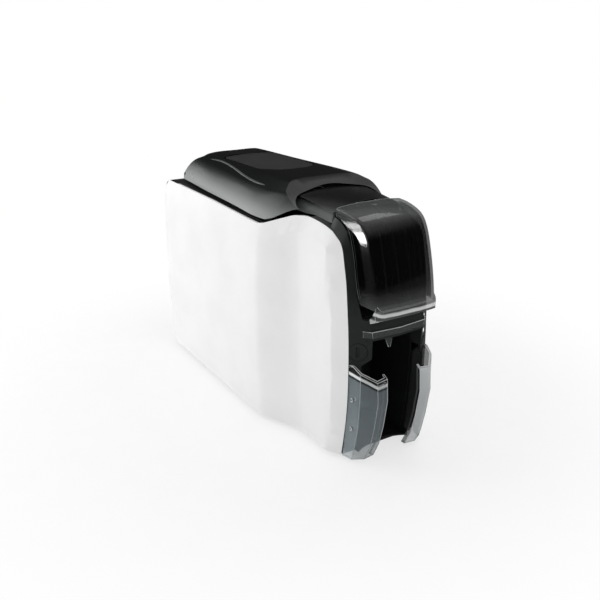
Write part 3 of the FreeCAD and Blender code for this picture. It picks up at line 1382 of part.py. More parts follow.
def chute_height(y):
    """Top face of the sloped card chute between the hopper's gate and the track."""
    top = HOPPER_FLOOR_Z - GATE_THICKNESS - SEAT
    end = TRACK_Z + CHUTE_GAP + THIN_WALL
    share = (y - HOPPER_REAR_Y) / (CHUTE_END_Y - HOPPER_REAR_Y)
    return top + share * (end - top)


def cleaning_height():
    """Axis height of the cleaning roller, just above the chute."""
    fall = chute_height(HOPPER_REAR_Y) - chute_height(CHUTE_END_Y)
    slope = math.atan2(fall, CHUTE_END_Y - HOPPER_REAR_Y)
    reach = CLEANING_ROLLER_RADIUS + CARD_THICKNESS + NIP_GAP
    return chute_height(CLEANING_ROLLER_Y) + reach / math.cos(slope)


def cleaning_roller():
    """Sticky cleaning roller over the chute, on its own thin shaft."""
    z = cleaning_height()
    half = CARD_HALF
    body = rod_x(-half, half, CLEANING_ROLLER_Y, z, CLEANING_ROLLER_RADIUS)
    shaft = rod_x(-FRAME_OUTER, FRAME_OUTER, CLEANING_ROLLER_Y, z, PINCH_SHAFT_RADIUS)
    return join([body, shaft])


def pick_roller():
    """Grooved rubber roller under the hopper that pushes out the lowest card."""
    z = pick_height()
    half = PICK_ROLLER_LENGTH / 2
    body = rod_x(-half, half, PICK_ROLLER_Y, z, PICK_ROLLER_RADIUS)
    groove = rod_x(-PULLEY_FLANGE, PULLEY_FLANGE, PICK_ROLLER_Y, z, PICK_ROLLER_RADIUS)
    core = rod_x(-PULLEY_FLANGE, PULLEY_FLANGE, PICK_ROLLER_Y, z, PICK_ROLLER_RADIUS - PULLEY_FLANGE)
    body = cut(body, [cut(groove, [core])])
    shaft = rod_x(-CHANNEL_HALF, CHANNEL_HALF, PICK_ROLLER_Y, z, SHAFT_RADIUS)
    return join([body, shaft])


def pick_carrier():
    """Two hangers under the hopper floor that hold the pick roller's shaft."""
    z = pick_height()
    high = z + PICK_ROLLER_RADIUS - PICK_PROUD - THIN_WALL - SEAT
    bore = rod_x(-WIDTH, WIDTH, PICK_ROLLER_Y, z, SHAFT_RADIUS + SHAFT_PLAY)
    hangers = []
    for side in (-1, 1):
        x0, x1 = sorted((side * CHANNEL_HALF, side * (CHANNEL_HALF - FRAME_THICKNESS)))
        low = z - SHAFT_RADIUS - THIN_WALL
        hanger = box(x0, x1, PICK_ROLLER_Y - 2 * SHAFT_RADIUS, PICK_ROLLER_Y + 2 * SHAFT_RADIUS, low, high)
        hangers.append(cut(hanger, [bore]))
    return hangers


def track_bed():
    """Lower card guide with raised side rails, roller windows and the sloped chute."""
    half = FRAME_INNER
    top = TRACK_Z - SEAT
    low = top - WALL
    bed = box(-half, half, BIN_REAR_Y + THIN_WALL, TRACK_END_Y, low, top)
    rails = []
    for side in (-1, 1):
        x0, x1 = sorted((side * CHANNEL_HALF, side * (CHANNEL_HALF + WALL)))
        rails.append(box(x0, x1, PLATEN_Y + HEAD_DEPTH, TRACK_END_Y, low, TRACK_Z + CARD_THICKNESS))
    gate_y = HOPPER_REAR_Y + GATE_THICKNESS
    end_z = chute_height(CHUTE_END_Y)
    slope = [
        V(-half, gate_y, chute_height(gate_y)), V(-half, CHUTE_END_Y, end_z),
        V(-half, CHUTE_END_Y, end_z - THIN_WALL), V(-half, gate_y, chute_height(gate_y) - THIN_WALL),
    ]
    chute = prism(slope, V(2 * half, 0, 0))
    windows = []
    for y in track_rollers().values():
        reach = TRACK_ROLLER_RADIUS + MOVING_GAP
        side = ROLLER_LENGTH / 2 + MOVING_GAP
        windows.append(box(-side, side, y - reach, y + reach, 0, TRACK_Z + CHUTE_GAP / 2))
    webs = []
    for side in (-1, 1):
        x0, x1 = sorted((side * half, side * (half - THIN_WALL)))
        web_front = CHUTE_END_Y - GATE_HEIGHT / 2
        web = [V(x0, web_front, low), V(x0, CHUTE_END_Y, low), V(x0, CHUTE_END_Y, end_z - SEAT),
               V(x0, web_front, chute_height(web_front) - SEAT)]
        webs.append(prism(web, V(x1 - x0, 0, 0)))
    return join([cut(join([bed] + rails), windows), chute] + webs)


def drive_belt():
    """Closed belt round all pulleys, from the exit shaft to the motor."""
    x = PULLEY_X - PULLEY_WIDTH / 2 - BELT_WIDTH / 2
    bands = []
    for extra in (BELT_PLAY + BELT_THICKNESS, BELT_PLAY):
        radius = PULLEY_RADIUS + extra
        ends = [rod_x(x, x + BELT_WIDTH, y, TRACK_SHAFT_Z, radius) for y in (EXIT_ROLLER_Y, MOTOR_Y)]
        run = box(x, x + BELT_WIDTH, EXIT_ROLLER_Y, MOTOR_Y, TRACK_SHAFT_Z - radius, TRACK_SHAFT_Z + radius)
        bands.append(join(ends + [run]))
    return cut(bands[0], [bands[1]])


def drive_motor():
    """Stepper motor outside the pulleys, on a plate that stands off the frame."""
    face_x = PULLEY_X - PULLEY_WIDTH - 2 * MOVING_GAP - MOTOR_BOSS
    half = MOTOR_SIDE / 2
    low_z, high_z = TRACK_SHAFT_Z - half, TRACK_SHAFT_Z + half
    body = box(face_x - MOTOR_LENGTH, face_x, MOTOR_Y - half, MOTOR_Y + half, low_z, high_z)
    edges = edges_along(body.Edges, X_AXIS)
    body = body.makeChamfer(MOTOR_CORNER, edges)
    boss = rod_x(face_x, face_x + MOTOR_BOSS, MOTOR_Y, TRACK_SHAFT_Z, MOTOR_BOSS_RADIUS / 2)
    posts = []
    spread = half - MOTOR_CORNER / 2 - MOTOR_POST_RADIUS
    for dy in (-spread, spread):
        for dz in (-spread, spread):
            posts.append(rod_x(face_x, -FRAME_OUTER, MOTOR_Y + dy, TRACK_SHAFT_Z + dz, MOTOR_POST_RADIUS))
    bore = rod_x(face_x - MOTOR_BOSS, 0, MOTOR_Y, TRACK_SHAFT_Z, MOTOR_SHAFT_RADIUS + SHAFT_PLAY)
    return cut(join([body, boss] + posts), [bore])


def motor_pulley():
    """Pulley and shaft of the stepper motor."""
    start = PULLEY_X - PULLEY_WIDTH - 2 * MOVING_GAP - 2 * MOTOR_BOSS
    shaft = rod_x(start, PULLEY_X, MOTOR_Y, TRACK_SHAFT_Z, MOTOR_SHAFT_RADIUS)
    return join([shaft] + pulley(MOTOR_Y))


def lid_section(row, inset):
    """Cross-section of the lid at one depth, moved inwards by inset and open to below."""
    y_share, shares = row
    y = y_share * DEPTH
    right = [V(x * HALF_WIDTH, y, z * HEIGHT) for x, z in shares]
    crown = V(0, y, right[-1].z)
    whole = right + [crown] + [V(-point.x, y, point.z) for point in reversed(right)]
    moved = []
    for index, point in enumerate(whole):
        before = whole[max(index - 1, 0)]
        after = whole[min(index + 1, len(whole) - 1)]
        run = after.sub(before)
        run.normalize()
        moved.append(point.add(V(-run.z, 0, run.x).multiply(inset)))
    low = PANEL_FOOT_Z + HEIGHT / 2
    near, far = LID_SHOULDER, len(moved) - 1 - LID_SHOULDER
    foot_right = V(moved[0].x, y, low)
    foot_left = V(moved[-1].x, y, low)
    edges = [
        curve(moved[:near + 1]),
        Part.makeLine(moved[near], moved[near + 1]),
        curve(moved[near + 1:far]),
        Part.makeLine(moved[far - 1], moved[far]),
        curve(moved[far:]),
        Part.makeLine(moved[-1], foot_left),
        Part.makeLine(foot_left, foot_right),
        Part.makeLine(foot_right, moved[0]),
    ]
    return Part.Wire(edges)


def lid_profile(inset):
    """Side view of the lid as a cross prism: rear slope, hem, raked front and crown."""
    rear = offset_points(side_points(LID_REAR_SHARES, -WIDTH), inset)
    hem = side_points(LID_HEM_SHARES, -WIDTH)
    foot = V(-WIDTH, LID_RIM_FOOT_Y + inset * LID_RAKE, LID_RIM_FOOT_Z)
    top = V(-WIDTH, LID_RIM_TOP_Y + inset * LID_RAKE, HEIGHT - inset)
    hem_rear = V(-WIDTH, rear[0].y, hem[0].z)
    if inset > 0:
        hem = [V(-WIDTH, foot.y, 0)]
        hem_rear = V(-WIDTH, rear[0].y, 0)
    outline = [foot, top, V(-WIDTH, rear[-1].y, HEIGHT - inset)]
    edges = [Part.makeLine(outline[0], outline[1]), Part.makeLine(outline[1], outline[2])]
    rear_points = [outline[2]] + list(reversed(rear[:-1]))
    edges.append(curve(rear_points))
    tail = [rear[0], hem_rear] + hem + [foot]
    for start, end in zip(tail, tail[1:]):
        if start.distanceToPoint(end) > SHAFT_PLAY:
            edges.append(Part.makeLine(start, end))
    return Part.Face(Part.Wire(edges)).extrude(V(2 * WIDTH, 0, 0))


def lid_body(inset):
    """The whole lid as a closed body, moved inwards by inset."""
    wires = [lid_section(row, inset) for row in LID_SECTION_SHARES]
    loft = Part.makeLoft(wires, True, False)
    body = common(loft, lid_profile(inset))
    x = LID_REAR_PLAN_HALF - LID_REAR_PLAN_RADIUS
    y = LID_REAR_SHARES[0][0] * DEPTH - LID_REAR_PLAN_RADIUS
    round_part = rod_z(x, y, 0, 2 * HEIGHT, LID_REAR_PLAN_RADIUS - inset)
    corner = cut(box(x, WIDTH, y, DEPTH, 0, 2 * HEIGHT), [round_part])
    return cut(body, [corner, mirrored(corner)])


def lid_mouth():
    """Opening in the raked front of the lid, over the feeder cap."""
    right = [V(x * HALF_WIDTH, -DEPTH, z * HEIGHT) for x, z in LID_MOUTH_SHARES]
    arch = right + [V(-point.x, -DEPTH, point.z) for point in reversed(right)]
    base = [V(arch[-1].x, -DEPTH, 0), V(arch[0].x, -DEPTH, 0)]
    edges = [curve(arch[1:-1]), Part.makeLine(arch[-2], base[0]), Part.makeLine(base[0], base[1])]
    edges.append(Part.makeLine(base[1], arch[1]))
    return Part.Face(Part.Wire(edges)).extrude(V(0, DEPTH + LID_RIM_TOP_Y + OVERRUN, 0))


def pad_outline(grow, z, height):
    """Plan shape of the release pad grown all round: straight back, round front."""
    half = PAD_HALF + grow
    block = box(-half, half, PAD_FRONT_Y - grow, PAD_REAR_Y + grow, z, z + height)
    upright = edges_along(block.Edges, Z_AXIS)
    front = [edge for edge in upright if edge.CenterOfMass.y < PAD_PUSHER_Y]
    block = single(block.makeFillet(PAD_CORNER + grow, front))
    rear = [edge for edge in block.Edges if edge.CenterOfMass.y > PAD_HINGE_Y and not is_bent(edge)]
    rear = edges_along(rear, Z_AXIS)
    return single(block.makeFillet(PAD_REAR_CORNER + grow, rear)) if rear else block


def lid_ear(side):
    """Ear of the lid inside the deck's ear, running up into the ceiling."""
    x1 = LID_DECK_EAR_X - LID_EAR_GAP
    x0, x1 = sorted((side * x1, side * (x1 - LID_EAR_THICKNESS)))
    barrel = rod_x(x0, x1, LID_HINGE_Y, LID_HINGE_Z, LID_EAR_RADIUS)
    web = box(x0, x1, LID_HINGE_Y - 4 * LID_EAR_RADIUS, LID_HINGE_Y, LID_HINGE_Z - LID_EAR_RADIUS, HEIGHT)
    return join([barrel, web])


def pad_ears(z_foot, gap):
    """Four small ears of the pad's hinge; gap moves them to the side for the other body."""
    ears = []
    for side in (-1, 1):
        x = side * (PAD_HINGE_X + gap)
        x0, x1 = x - PAD_EAR_WIDTH / 2, x + PAD_EAR_WIDTH / 2
        barrel = rod_x(x0, x1, PAD_HINGE_Y, PAD_HINGE_Z, PAD_EAR_RADIUS)
        low, high = sorted((PAD_HINGE_Z, z_foot))
        web = box(x0, x1, PAD_HINGE_Y - PAD_EAR_RADIUS, PAD_HINGE_Y + PAD_EAR_RADIUS, low, high)
        ears += [barrel, web]
    return ears


def top_lid():
    """Domed lid: thin shell with a raked rim, a recess for the pad and its hinge ears."""
    outer = lid_body(0)
    shell = cut(outer, [lid_body(LID_WALL)])
    grow = PAD_SIDE_GAP + PAD_RECESS_WALL
    tub = pad_outline(grow, PAD_RECESS_Z - PAD_RECESS_WALL, HEIGHT)
    ears = [common(lid_ear(side), outer) for side in (-1, 1)]
    shell = join([shell, common(tub, outer)] + ears)
    recess = pad_outline(PAD_SIDE_GAP, PAD_RECESS_Z, HEIGHT)
    tools = [recess, lid_mouth(), lid_pin_bore(LID_PIN_RADIUS + SHAFT_PLAY)]
    notch_high = LID_HINGE_Z + LID_EAR_RADIUS + MOVING_GAP
    for side in (-1, 1):
        x0, x1 = sorted((side * (LID_DECK_EAR_X - LID_EAR_GAP), side * (LID_PIN_HALF + LID_EAR_GAP)))
        tools.append(box(x0, x1, LID_HINGE_Y - 2 * LID_EAR_RADIUS, DEPTH, 0, notch_high))
    tools.append(rod_z(0, PAD_PUSHER_Y, 0, HEIGHT, PAD_PUSHER_RADIUS + MOVING_GAP))
    shell = cut(shell, tools)
    lugs = pad_ears(PAD_RECESS_Z - PAD_RECESS_WALL / 2, PAD_EAR_WIDTH + SEAT)
    return cut(join([shell] + lugs), [pad_pin_bore(PAD_HINGE_RADIUS)])


def pad_pin_bore(radius):
    """Bore along the pad's hinge."""
    return rod_x(-PAD_HALF, PAD_HALF, PAD_HINGE_Y, PAD_HINGE_Z, radius)


def pad_hinge_pins():
    """Two short pins of the pad's hinge."""
    pins = []
    for side in (-1, 1):
        near, far = PAD_HINGE_X - PAD_EAR_WIDTH / 2, PAD_HINGE_X + 3 * PAD_EAR_WIDTH / 2 + SEAT
        x0, x1 = sorted((side * near, side * far))
        pins.append(rod_x(x0, x1, PAD_HINGE_Y, PAD_HINGE_Z, PAD_HINGE_RADIUS))
    return pins


def release_pad():
    """Crowned pad pressed to open the lid, with hinge ears and a pusher below."""
    bottom = PAD_TOP_Z - PAD_THICKNESS
    plate = pad_outline(0, bottom, PAD_THICKNESS)
    crown = rod_y(0, -DEPTH, DEPTH, PAD_TOP_Z - PAD_CROWN_RADIUS, PAD_CROWN_RADIUS)
    plate = common(plate, crown)
    ears = pad_ears(bottom, 0)
    pusher = rod_z(0, PAD_PUSHER_Y, LATCH_Z + LATCH_SHAFT_RADIUS + SEAT, bottom, PAD_PUSHER_RADIUS)
    tools = [pad_pin_bore(PAD_HINGE_RADIUS + SHAFT_PLAY)]
    for side in (-1, 1):
        x = side * (PAD_HINGE_X + PAD_EAR_WIDTH + SEAT)
        reach = PAD_EAR_WIDTH / 2 + SEAT / 2
        tools.append(rod_x(x - reach, x + reach, PAD_HINGE_Y, PAD_HINGE_Z, PAD_EAR_RADIUS + SEAT))
    return cut(join([plate, pusher] + ears), tools)


def latch_bar():
    """Cross shaft with two hooks and the arm that the pad pushes down."""
    half = FRAME_INNER - SEAT
    parts = [rod_x(-half, half, LATCH_Y, LATCH_Z, LATCH_SHAFT_RADIUS)]
    arm_half = LATCH_ARM_WIDTH / 2
    far = LATCH_Y + LATCH_ARM_LENGTH
    parts.append(box(-arm_half, arm_half, LATCH_Y, far, LATCH_Z, LATCH_Z + LATCH_SHAFT_RADIUS))
    for side in (-1, 1):
        x0, x1 = sorted((side * LATCH_HOOK_X, side * (LATCH_HOOK_X + LATCH_HOOK_THICKNESS)))
        parts.append(rod_x(x0, x1, LATCH_Y, LATCH_Z, LATCH_BOSS_RADIUS))
        front, back = LATCH_Y - LATCH_HOOK_WIDTH / 2, LATCH_Y + LATCH_HOOK_WIDTH / 2
        low = LATCH_STUD_Z - 2 * LATCH_STUD_RADIUS
        hook = [
            V(x0, front, LATCH_Z),
            V(x0, back, LATCH_Z),
            V(x0, back, LATCH_STUD_Z),
            V(x0, back + LATCH_NOSE, LATCH_STUD_Z - LATCH_STUD_RADIUS / 2),
            V(x0, back, low),
            V(x0, front, low),
        ]
        parts.append(prism(hook, V(LATCH_HOOK_THICKNESS, 0, 0)))
    return join(parts)


def head_outline():
    """Side outline of the print head: a block that narrows to the printing edge."""
    low = TRACK_Z + CARD_THICKNESS + NIP_GAP + HEAD_LIFT - FILM_THICKNESS
    half = HEAD_DEPTH / 2
    shoulder = low + HEAD_DEPTH / 2
    return [
        V(-HEAD_HALF, PLATEN_Y - half, low + HEAD_HEIGHT), V(-HEAD_HALF, PLATEN_Y - half, shoulder),
        V(-HEAD_HALF, PLATEN_Y - HEAD_TIP / 2, low), V(-HEAD_HALF, PLATEN_Y + HEAD_TIP / 2, low),
        V(-HEAD_HALF, PLATEN_Y + half, shoulder), V(-HEAD_HALF, PLATEN_Y + half, low + HEAD_HEIGHT),
    ]


def print_head():
    """Thermal print head with cooling grooves across its rear face."""
    outline = head_outline()
    block = prism(outline, V(2 * HEAD_HALF, 0, 0))
    top = outline[0].z
    pitch = 2 * HEAD_HALF / HEAD_FIN_COUNT
    grooves = []
    for index in range(1, HEAD_FIN_COUNT):
        x = -HEAD_HALF + index * pitch
        y = PLATEN_Y + HEAD_DEPTH / 2 - 2 * HEAD_FIN_GAP
        grooves.append(box(x, x + HEAD_FIN_GAP, y, DEPTH, top - HEAD_FIN_HEIGHT, HEIGHT))
    return cut(block, grooves)


def head_cradle():
    """Two arms and a bridge that hold the head under the lid."""
    top = PAD_RECESS_Z - PAD_RECESS_WALL
    low = head_outline()[1].z
    half = CRADLE_DEPTH / 2
    head_top = head_outline()[0].z
    inner = HEAD_HALF + SEAT
    outer = inner + CRADLE_WALL
    bridge_top = CRADLE_BRIDGE_Z + CRADLE_WALL
    parts = [box(-outer, outer, PLATEN_Y - half, PLATEN_Y + half, CRADLE_BRIDGE_Z, bridge_top)]
    for side in (-1, 1):
        x0, x1 = sorted((side * inner, side * outer))
        arm = box(x0, x1, PLATEN_Y - half, PLATEN_Y + half, low, top)
        window = box(x0, x1, PLATEN_Y - half / 2, PLATEN_Y + half / 2, CRADLE_BRIDGE_Z + CRADLE_WINDOW,
                     LATCH_Z - CRADLE_WINDOW)
        parts.append(cut(arm, [window]))
    for x in (-inner / 2, inner / 2):
        parts.append(rod_z(x, PLATEN_Y, head_top, CRADLE_BRIDGE_Z, LATCH_BOSS_RADIUS))
    return cut(join(parts), [rod_x(-WIDTH, WIDTH, LATCH_Y, LATCH_Z, LATCH_SHAFT_RADIUS + SHAFT_PLAY)])


def spool(y, radius):
    """Core, film roll and flanges of one ribbon spool: core first, then the film."""
    film_half = RIBBON_WIDTH / 2
    core = [rod_x(-FRAME_OUTER, FRAME_OUTER, y, SPOOL_Z, SPOOL_BORE_RADIUS),
            rod_x(-film_half, film_half, y, SPOOL_Z, SPOOL_CORE_RADIUS)]
    for x in (-film_half - SPOOL_FLANGE, film_half):
        core.append(rod_x(x, x + SPOOL_FLANGE, y, SPOOL_Z, radius + SPOOL_FLANGE_RISE))
    half = film_half - SEAT
    film = rod_x(-half, half, y, SPOOL_Z, radius)
    film = cut(film, [rod_x(-half, half, y, SPOOL_Z, SPOOL_CORE_RADIUS)])
    return join(core), film


def guide_bar_places():
    """Places of the two bars that lead the film under the head."""
    return (PLATEN_Y - GUIDE_BAR_SPREAD, PLATEN_Y + GUIDE_BAR_SPREAD)


def film_height():
    """Underside of the film where it runs level over the card."""
    return TRACK_Z + CARD_THICKNESS + NIP_GAP


def guide_bar_height():
    """Axis height of the guide bars, the film passing just below them."""
    return film_height() + FILM_THICKNESS + SHAFT_PLAY + GUIDE_BAR_RADIUS


def ribbon_cassette():
    """Open frame of the ribbon: two end plates, two guide bars and a cross rail."""
    outer = CASSETTE_HALF
    bar_z = guide_bar_height()
    front_y, rear_y = guide_bar_places()
    parts = []
    for side in (-1, 1):
        x0, x1 = sorted((side * outer, side * (outer - CASSETTE_RAIL)))
        low = bar_z - GUIDE_BAR_RADIUS
        high = low + CASSETTE_RAIL_HEIGHT
        wide = SPOOL_CORE_RADIUS + CASSETTE_RAIL
        plate = [box(x0, x1, front_y - wide, rear_y + wide, low, high)]
        for y, foot in ((TAKEUP_Y, front_y), (SUPPLY_Y, rear_y)):
            plate.append(rod_x(x0, x1, y, SPOOL_Z, wide))
            points = [V(x0, foot - wide, low), V(x0, foot + wide, low), V(x0, foot + wide, high),
                      V(x0, y + wide, SPOOL_Z), V(x0, y - wide, SPOOL_Z), V(x0, foot - wide, high)]
            plate.append(prism(points, V(x1 - x0, 0, 0)))
        plate = join(plate)
        bores = [rod_x(x0, x1, y, SPOOL_Z, SPOOL_BORE_RADIUS + SHAFT_PLAY) for y in (TAKEUP_Y, SUPPLY_Y)]
        parts.append(cut(plate, bores))
    for y in (front_y, rear_y):
        parts.append(rod_x(-outer, outer, y, bar_z, GUIDE_BAR_RADIUS))
    return join(parts)


def ribbon_film():
    """Film from the supply roll under both bars and up to the take-up roll."""
    low = film_height()
    front_y, rear_y = guide_bar_places()
    start = V(-FILM_WIDTH / 2, SUPPLY_Y - SUPPLY_RADIUS - SEAT, SPOOL_Z)
    end = V(start.x, TAKEUP_Y + TAKEUP_RADIUS + SEAT, SPOOL_Z)
    reach = guide_bar_height() - low
    bend = reach * math.tan(math.pi / 8)
    rear = [V(start.x, rear_y + reach, low + reach - bend), V(start.x, rear_y + bend, low)]
    front = [V(start.x, front_y - bend, low), V(start.x, front_y - reach, low + reach - bend)]
    path = [start] + rear + front + [end]
    back = offset_points(path, -FILM_THICKNESS)
    return prism(path + list(reversed(back)), V(FILM_WIDTH, 0, 0))


def main_board():
    """Upright circuit board behind both frame plates."""
    front = FRAME_REAR_Y + SEAT
    board = box(-BOARD_X, BOARD_X, front, front + BOARD_THICKNESS, BOARD_LOW_Z, BOARD_HIGH_Z)
    corners = edges_along(board.Edges, Y_AXIS)
    return single(board.makeFillet(WALL, corners))


def board_chips():
    """Chips and capacitors on the rear face of the board, from a table of shares."""
    face = FRAME_REAR_Y + SEAT + BOARD_THICKNESS
    height = BOARD_HIGH_Z - BOARD_LOW_Z
    chips = []
    for x_share, z_share, width_share, tall_share in CHIP_SHARES:
        x, z = x_share * BOARD_X, BOARD_LOW_Z + z_share * height
        width, tall = width_share * BOARD_X, tall_share * height
        chips.append(box(x, x + width, face, face + CHIP_DEPTH, z, z + tall))
    for share in CAPACITOR_SHARES:
        z = BOARD_LOW_Z + CAPACITOR_HEIGHT_SHARE * height
        chips.append(rod_y(share * BOARD_X, face, face + CAPACITOR_LENGTH, z, CAPACITOR_RADIUS))
    return chips


def socket_shells():
    """Power socket, network socket and data socket behind the rear cover."""
    face = REAR_COVER_Y + WALL / 2
    back = FRAME_REAR_Y + SEAT + BOARD_THICKNESS
    shells = []
    for x, z, width, height in socket_places():
        half_width, half_height = width / 2, height / 2
        body = box(x - half_width, x + half_width, back, face, z - half_height, z + half_height)
        inner_width, inner_height = half_width - SOCKET_WALL, half_height - SOCKET_WALL
        low_z, high_z = z - inner_height, z + inner_height
        room = box(x - inner_width, x + inner_width, face - SOCKET_DEPTH, DEPTH, low_z, high_z)
        shells.append((body, room, face))
    power_body, room, face = shells[0]
    bore = rod_y(DC_X, face - SOCKET_DEPTH, DEPTH, DC_Z, DC_BORE_RADIUS)
    pin = rod_y(DC_X, face - SOCKET_DEPTH, face - SOCKET_WALL, DC_Z, DC_PIN_RADIUS)
    power = join([cut(power_body, [bore]), pin])
    network = cut(shells[1][0], [shells[1][1]])
    tongue_half = USB_WIDTH / 4
    low_z, high_z = USB_Z - SOCKET_WALL, USB_Z + SOCKET_WALL
    tongue = box(USB_X - tongue_half, USB_X + tongue_half, face - SOCKET_DEPTH, face - SOCKET_WALL, low_z, high_z)
    data = join([cut(shells[2][0], [shells[2][1]]), tongue])
    return power, network, data


# Build every piece and write it under its own name
os.makedirs("parts", exist_ok=True)
panel = side_panel()
guard = output_guard()
frame_left = frame_plate()
supply_core, supply_film = spool(SUPPLY_Y, SUPPLY_RADIUS)
takeup_core, takeup_film = spool(TAKEUP_Y, TAKEUP_RADIUS)
power_socket, network_socket, data_socket = socket_shells()
pieces = {
    "side_panel_left": [panel],
    "side_panel_right": [mirrored(panel)],
    "front_fascia": [fascia_with_fittings()],
    "feeder_cap": [feeder_cap()],
    "hood": [hood()],
    "hood_hinge_pin": [hood_hinge_pin()],
    "output_guard_left": [guard],
    "output_guard_right": [mirrored(guard)],
    "exit_ledge": [exit_ledge()],
    "exit_tongue": [exit_tongue()],
    "lock_plug": [lock_plug()],
    "indicator_panel": [indicator_panel()],
    "status_lights": status_lights(),
    "power_button": [power_button()],
    "output_bin": [output_bin()],
    "hopper_tray": [hopper_tray()],
    "card_gate": [card_gate()],
    "base_tray": [base_tray()],
    "rubber_feet": rubber_feet(),
    "top_deck": [top_deck()],
    "rear_cover": [rear_cover()],
    "cover_screws": cover_screws(),
    "lid_hinge_pin": [lid_hinge_pin()],
    "top_lid": [top_lid()],
    "release_pad": [release_pad()],
    "pad_hinge_pins": pad_hinge_pins(),
    "latch_bar": [latch_bar()],
    "print_head": [print_head()],
    "head_cradle": [head_cradle()],
    "frame_left": [frame_left],
    "frame_right": [mirrored(frame_left)],
    "frame_bushes": frame_bushes(),
    "pinch_roller_front": [pinch_roller(FRONT_ROLLER_Y)],
    "pinch_roller_rear": [pinch_roller(REAR_ROLLER_Y)],
    "cleaning_roller": [cleaning_roller()],
    "pick_roller": [pick_roller()],
    "pick_hangers": pick_carrier(),
    "track_bed": [track_bed()],
    "drive_belt": [drive_belt()],
    "drive_motor": [drive_motor()],
    "motor_pulley": [motor_pulley()],
    "ribbon_cassette": [ribbon_cassette()],
    "supply_core": [supply_core],
    "supply_film": [supply_film],
    "takeup_core": [takeup_core],
    "takeup_film": [takeup_film],
    "ribbon_film": [ribbon_film()],
    "main_board": [main_board()],
    "board_chips": board_chips(),
    "power_socket": [power_socket],
    "network_socket": [network_socket],
    "data_socket": [data_socket],
}
for name, place in track_rollers().items():
    pieces[name + "_shaft"] = [driven_shaft(place)]
    pieces[name + "_roller"] = [roller_sleeve(place)]
for name, shapes in pieces.items():
    save(name, shapes)
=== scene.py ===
import json
import math
import bmesh
import bpy
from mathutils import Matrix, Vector


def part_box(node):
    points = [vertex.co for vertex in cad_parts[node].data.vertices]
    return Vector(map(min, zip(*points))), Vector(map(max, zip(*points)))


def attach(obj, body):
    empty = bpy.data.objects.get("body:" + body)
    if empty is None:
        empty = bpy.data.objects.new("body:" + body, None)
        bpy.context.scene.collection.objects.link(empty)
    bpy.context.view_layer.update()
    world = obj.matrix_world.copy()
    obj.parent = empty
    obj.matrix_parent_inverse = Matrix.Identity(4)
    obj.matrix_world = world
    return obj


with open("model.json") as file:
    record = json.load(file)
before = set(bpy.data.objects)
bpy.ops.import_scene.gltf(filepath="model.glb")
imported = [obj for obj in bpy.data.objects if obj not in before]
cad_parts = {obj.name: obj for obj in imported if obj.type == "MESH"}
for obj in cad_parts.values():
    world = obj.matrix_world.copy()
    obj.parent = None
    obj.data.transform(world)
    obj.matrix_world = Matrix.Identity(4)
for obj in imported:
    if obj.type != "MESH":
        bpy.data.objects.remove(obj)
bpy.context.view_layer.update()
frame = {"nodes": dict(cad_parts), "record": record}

nodes = frame["nodes"]
MM = 0.001
WELD = 0.01 * MM
WHITE = (1, 1, 1, 1)

# Materials: every finish is a node tree with procedural grain. Noise scales are per metre.

# Parts of a noise's range over which a number and a colour change
NUMBER_SPAN = (0.3, 0.7)
COLOUR_SPAN = (0.35, 0.65)
CLOUD_SCALE = 22.0
GRAIN_SCALE = 900.0
GRAIN_DETAIL = 2.0
GRAIN_DEPTH = 0.08 * MM
METAL_SCALE = 260.0
METAL_DETAIL = 6.0
METAL_ROUGHNESS = 0.6
METAL_RELIEF = 0.06
METAL_DEPTH = 0.05 * MM
STREAK_SCALE = 60.0
STREAK_DETAIL = 3.0
STREAK_ROUGHNESS = 0.5
STREAK_STRETCH = (1, 1, 0.35)
BORDER_WANDER = 0.02
MIDDLE = 0.5
# Y of the normal on faces that look forward and on faces that look sideways, between which the
# painted side shading comes in
FRONT_TO_SIDE_SHADING = (-0.60, -0.20)
SMOKE_SCALE = 16.0
SMOKE_GRAIN = 45.0
SMOKE_DETAIL = 1.0
SMOKE_RELIEF = 0.04
SMOKE_DEPTH = 0.04 * MM
# Painted sheen: a paler colour mixed into a smoked plastic's colour at grazing angles
PAINTED_SHEEN_BLEND = 0.22
PAINTED_SHEEN_GRAZE = (0.30, 0.72)
SYMBOL_SCALE = 500.0


def new_material(name):
    """An empty material with its node tree and main shader."""
    mat = bpy.data.materials.new(name)
    mat.use_nodes = True
    tree = mat.node_tree
    return mat, tree, tree.nodes["Principled BSDF"]


def noise(tree, scale, detail=4.0, rough=0.55, stretch=(1, 1, 1)):
    """Noise in object space, the same size on every piece."""
    coord = tree.nodes.new("ShaderNodeTexCoord")
    mapping = tree.nodes.new("ShaderNodeMapping")
    mapping.inputs["Scale"].default_value = stretch
    tex = tree.nodes.new("ShaderNodeTexNoise")
    tex.inputs["Scale"].default_value = scale
    tex.inputs["Detail"].default_value = detail
    tex.inputs["Roughness"].default_value = rough
    tree.links.new(coord.outputs["Object"], mapping.inputs["Vector"])
    tree.links.new(mapping.outputs["Vector"], tex.inputs["Vector"])
    return tex.outputs["Fac"]


def split_axes(tree, source):
    """X, Y and Z of one output of the texture coordinates."""
    coord = tree.nodes.new("ShaderNodeTexCoord")
    split = tree.nodes.new("ShaderNodeSeparateXYZ")
    tree.links.new(coord.outputs[source], split.inputs["Vector"])
    return split.outputs


def maths(tree, operation, *terms):
    """Math node over sockets and plain numbers."""
    node = tree.nodes.new("ShaderNodeMath")
    node.operation = operation
    for socket, term in zip(node.inputs, terms):
        if isinstance(term, bpy.types.NodeSocket):
            tree.links.new(term, socket)
        else:
            socket.default_value = term
    return node.outputs["Value"]


def remap(tree, value, source, target=(0.0, 1.0), kind="LINEAR"):
    """Number taken from one range to another and held inside it."""
    node = tree.nodes.new("ShaderNodeMapRange")
    node.interpolation_type = kind
    node.inputs["From Min"].default_value, node.inputs["From Max"].default_value = source
    node.inputs["To Min"].default_value, node.inputs["To Max"].default_value = target
    tree.links.new(value, node.inputs["Value"])
    return node.outputs["Result"]


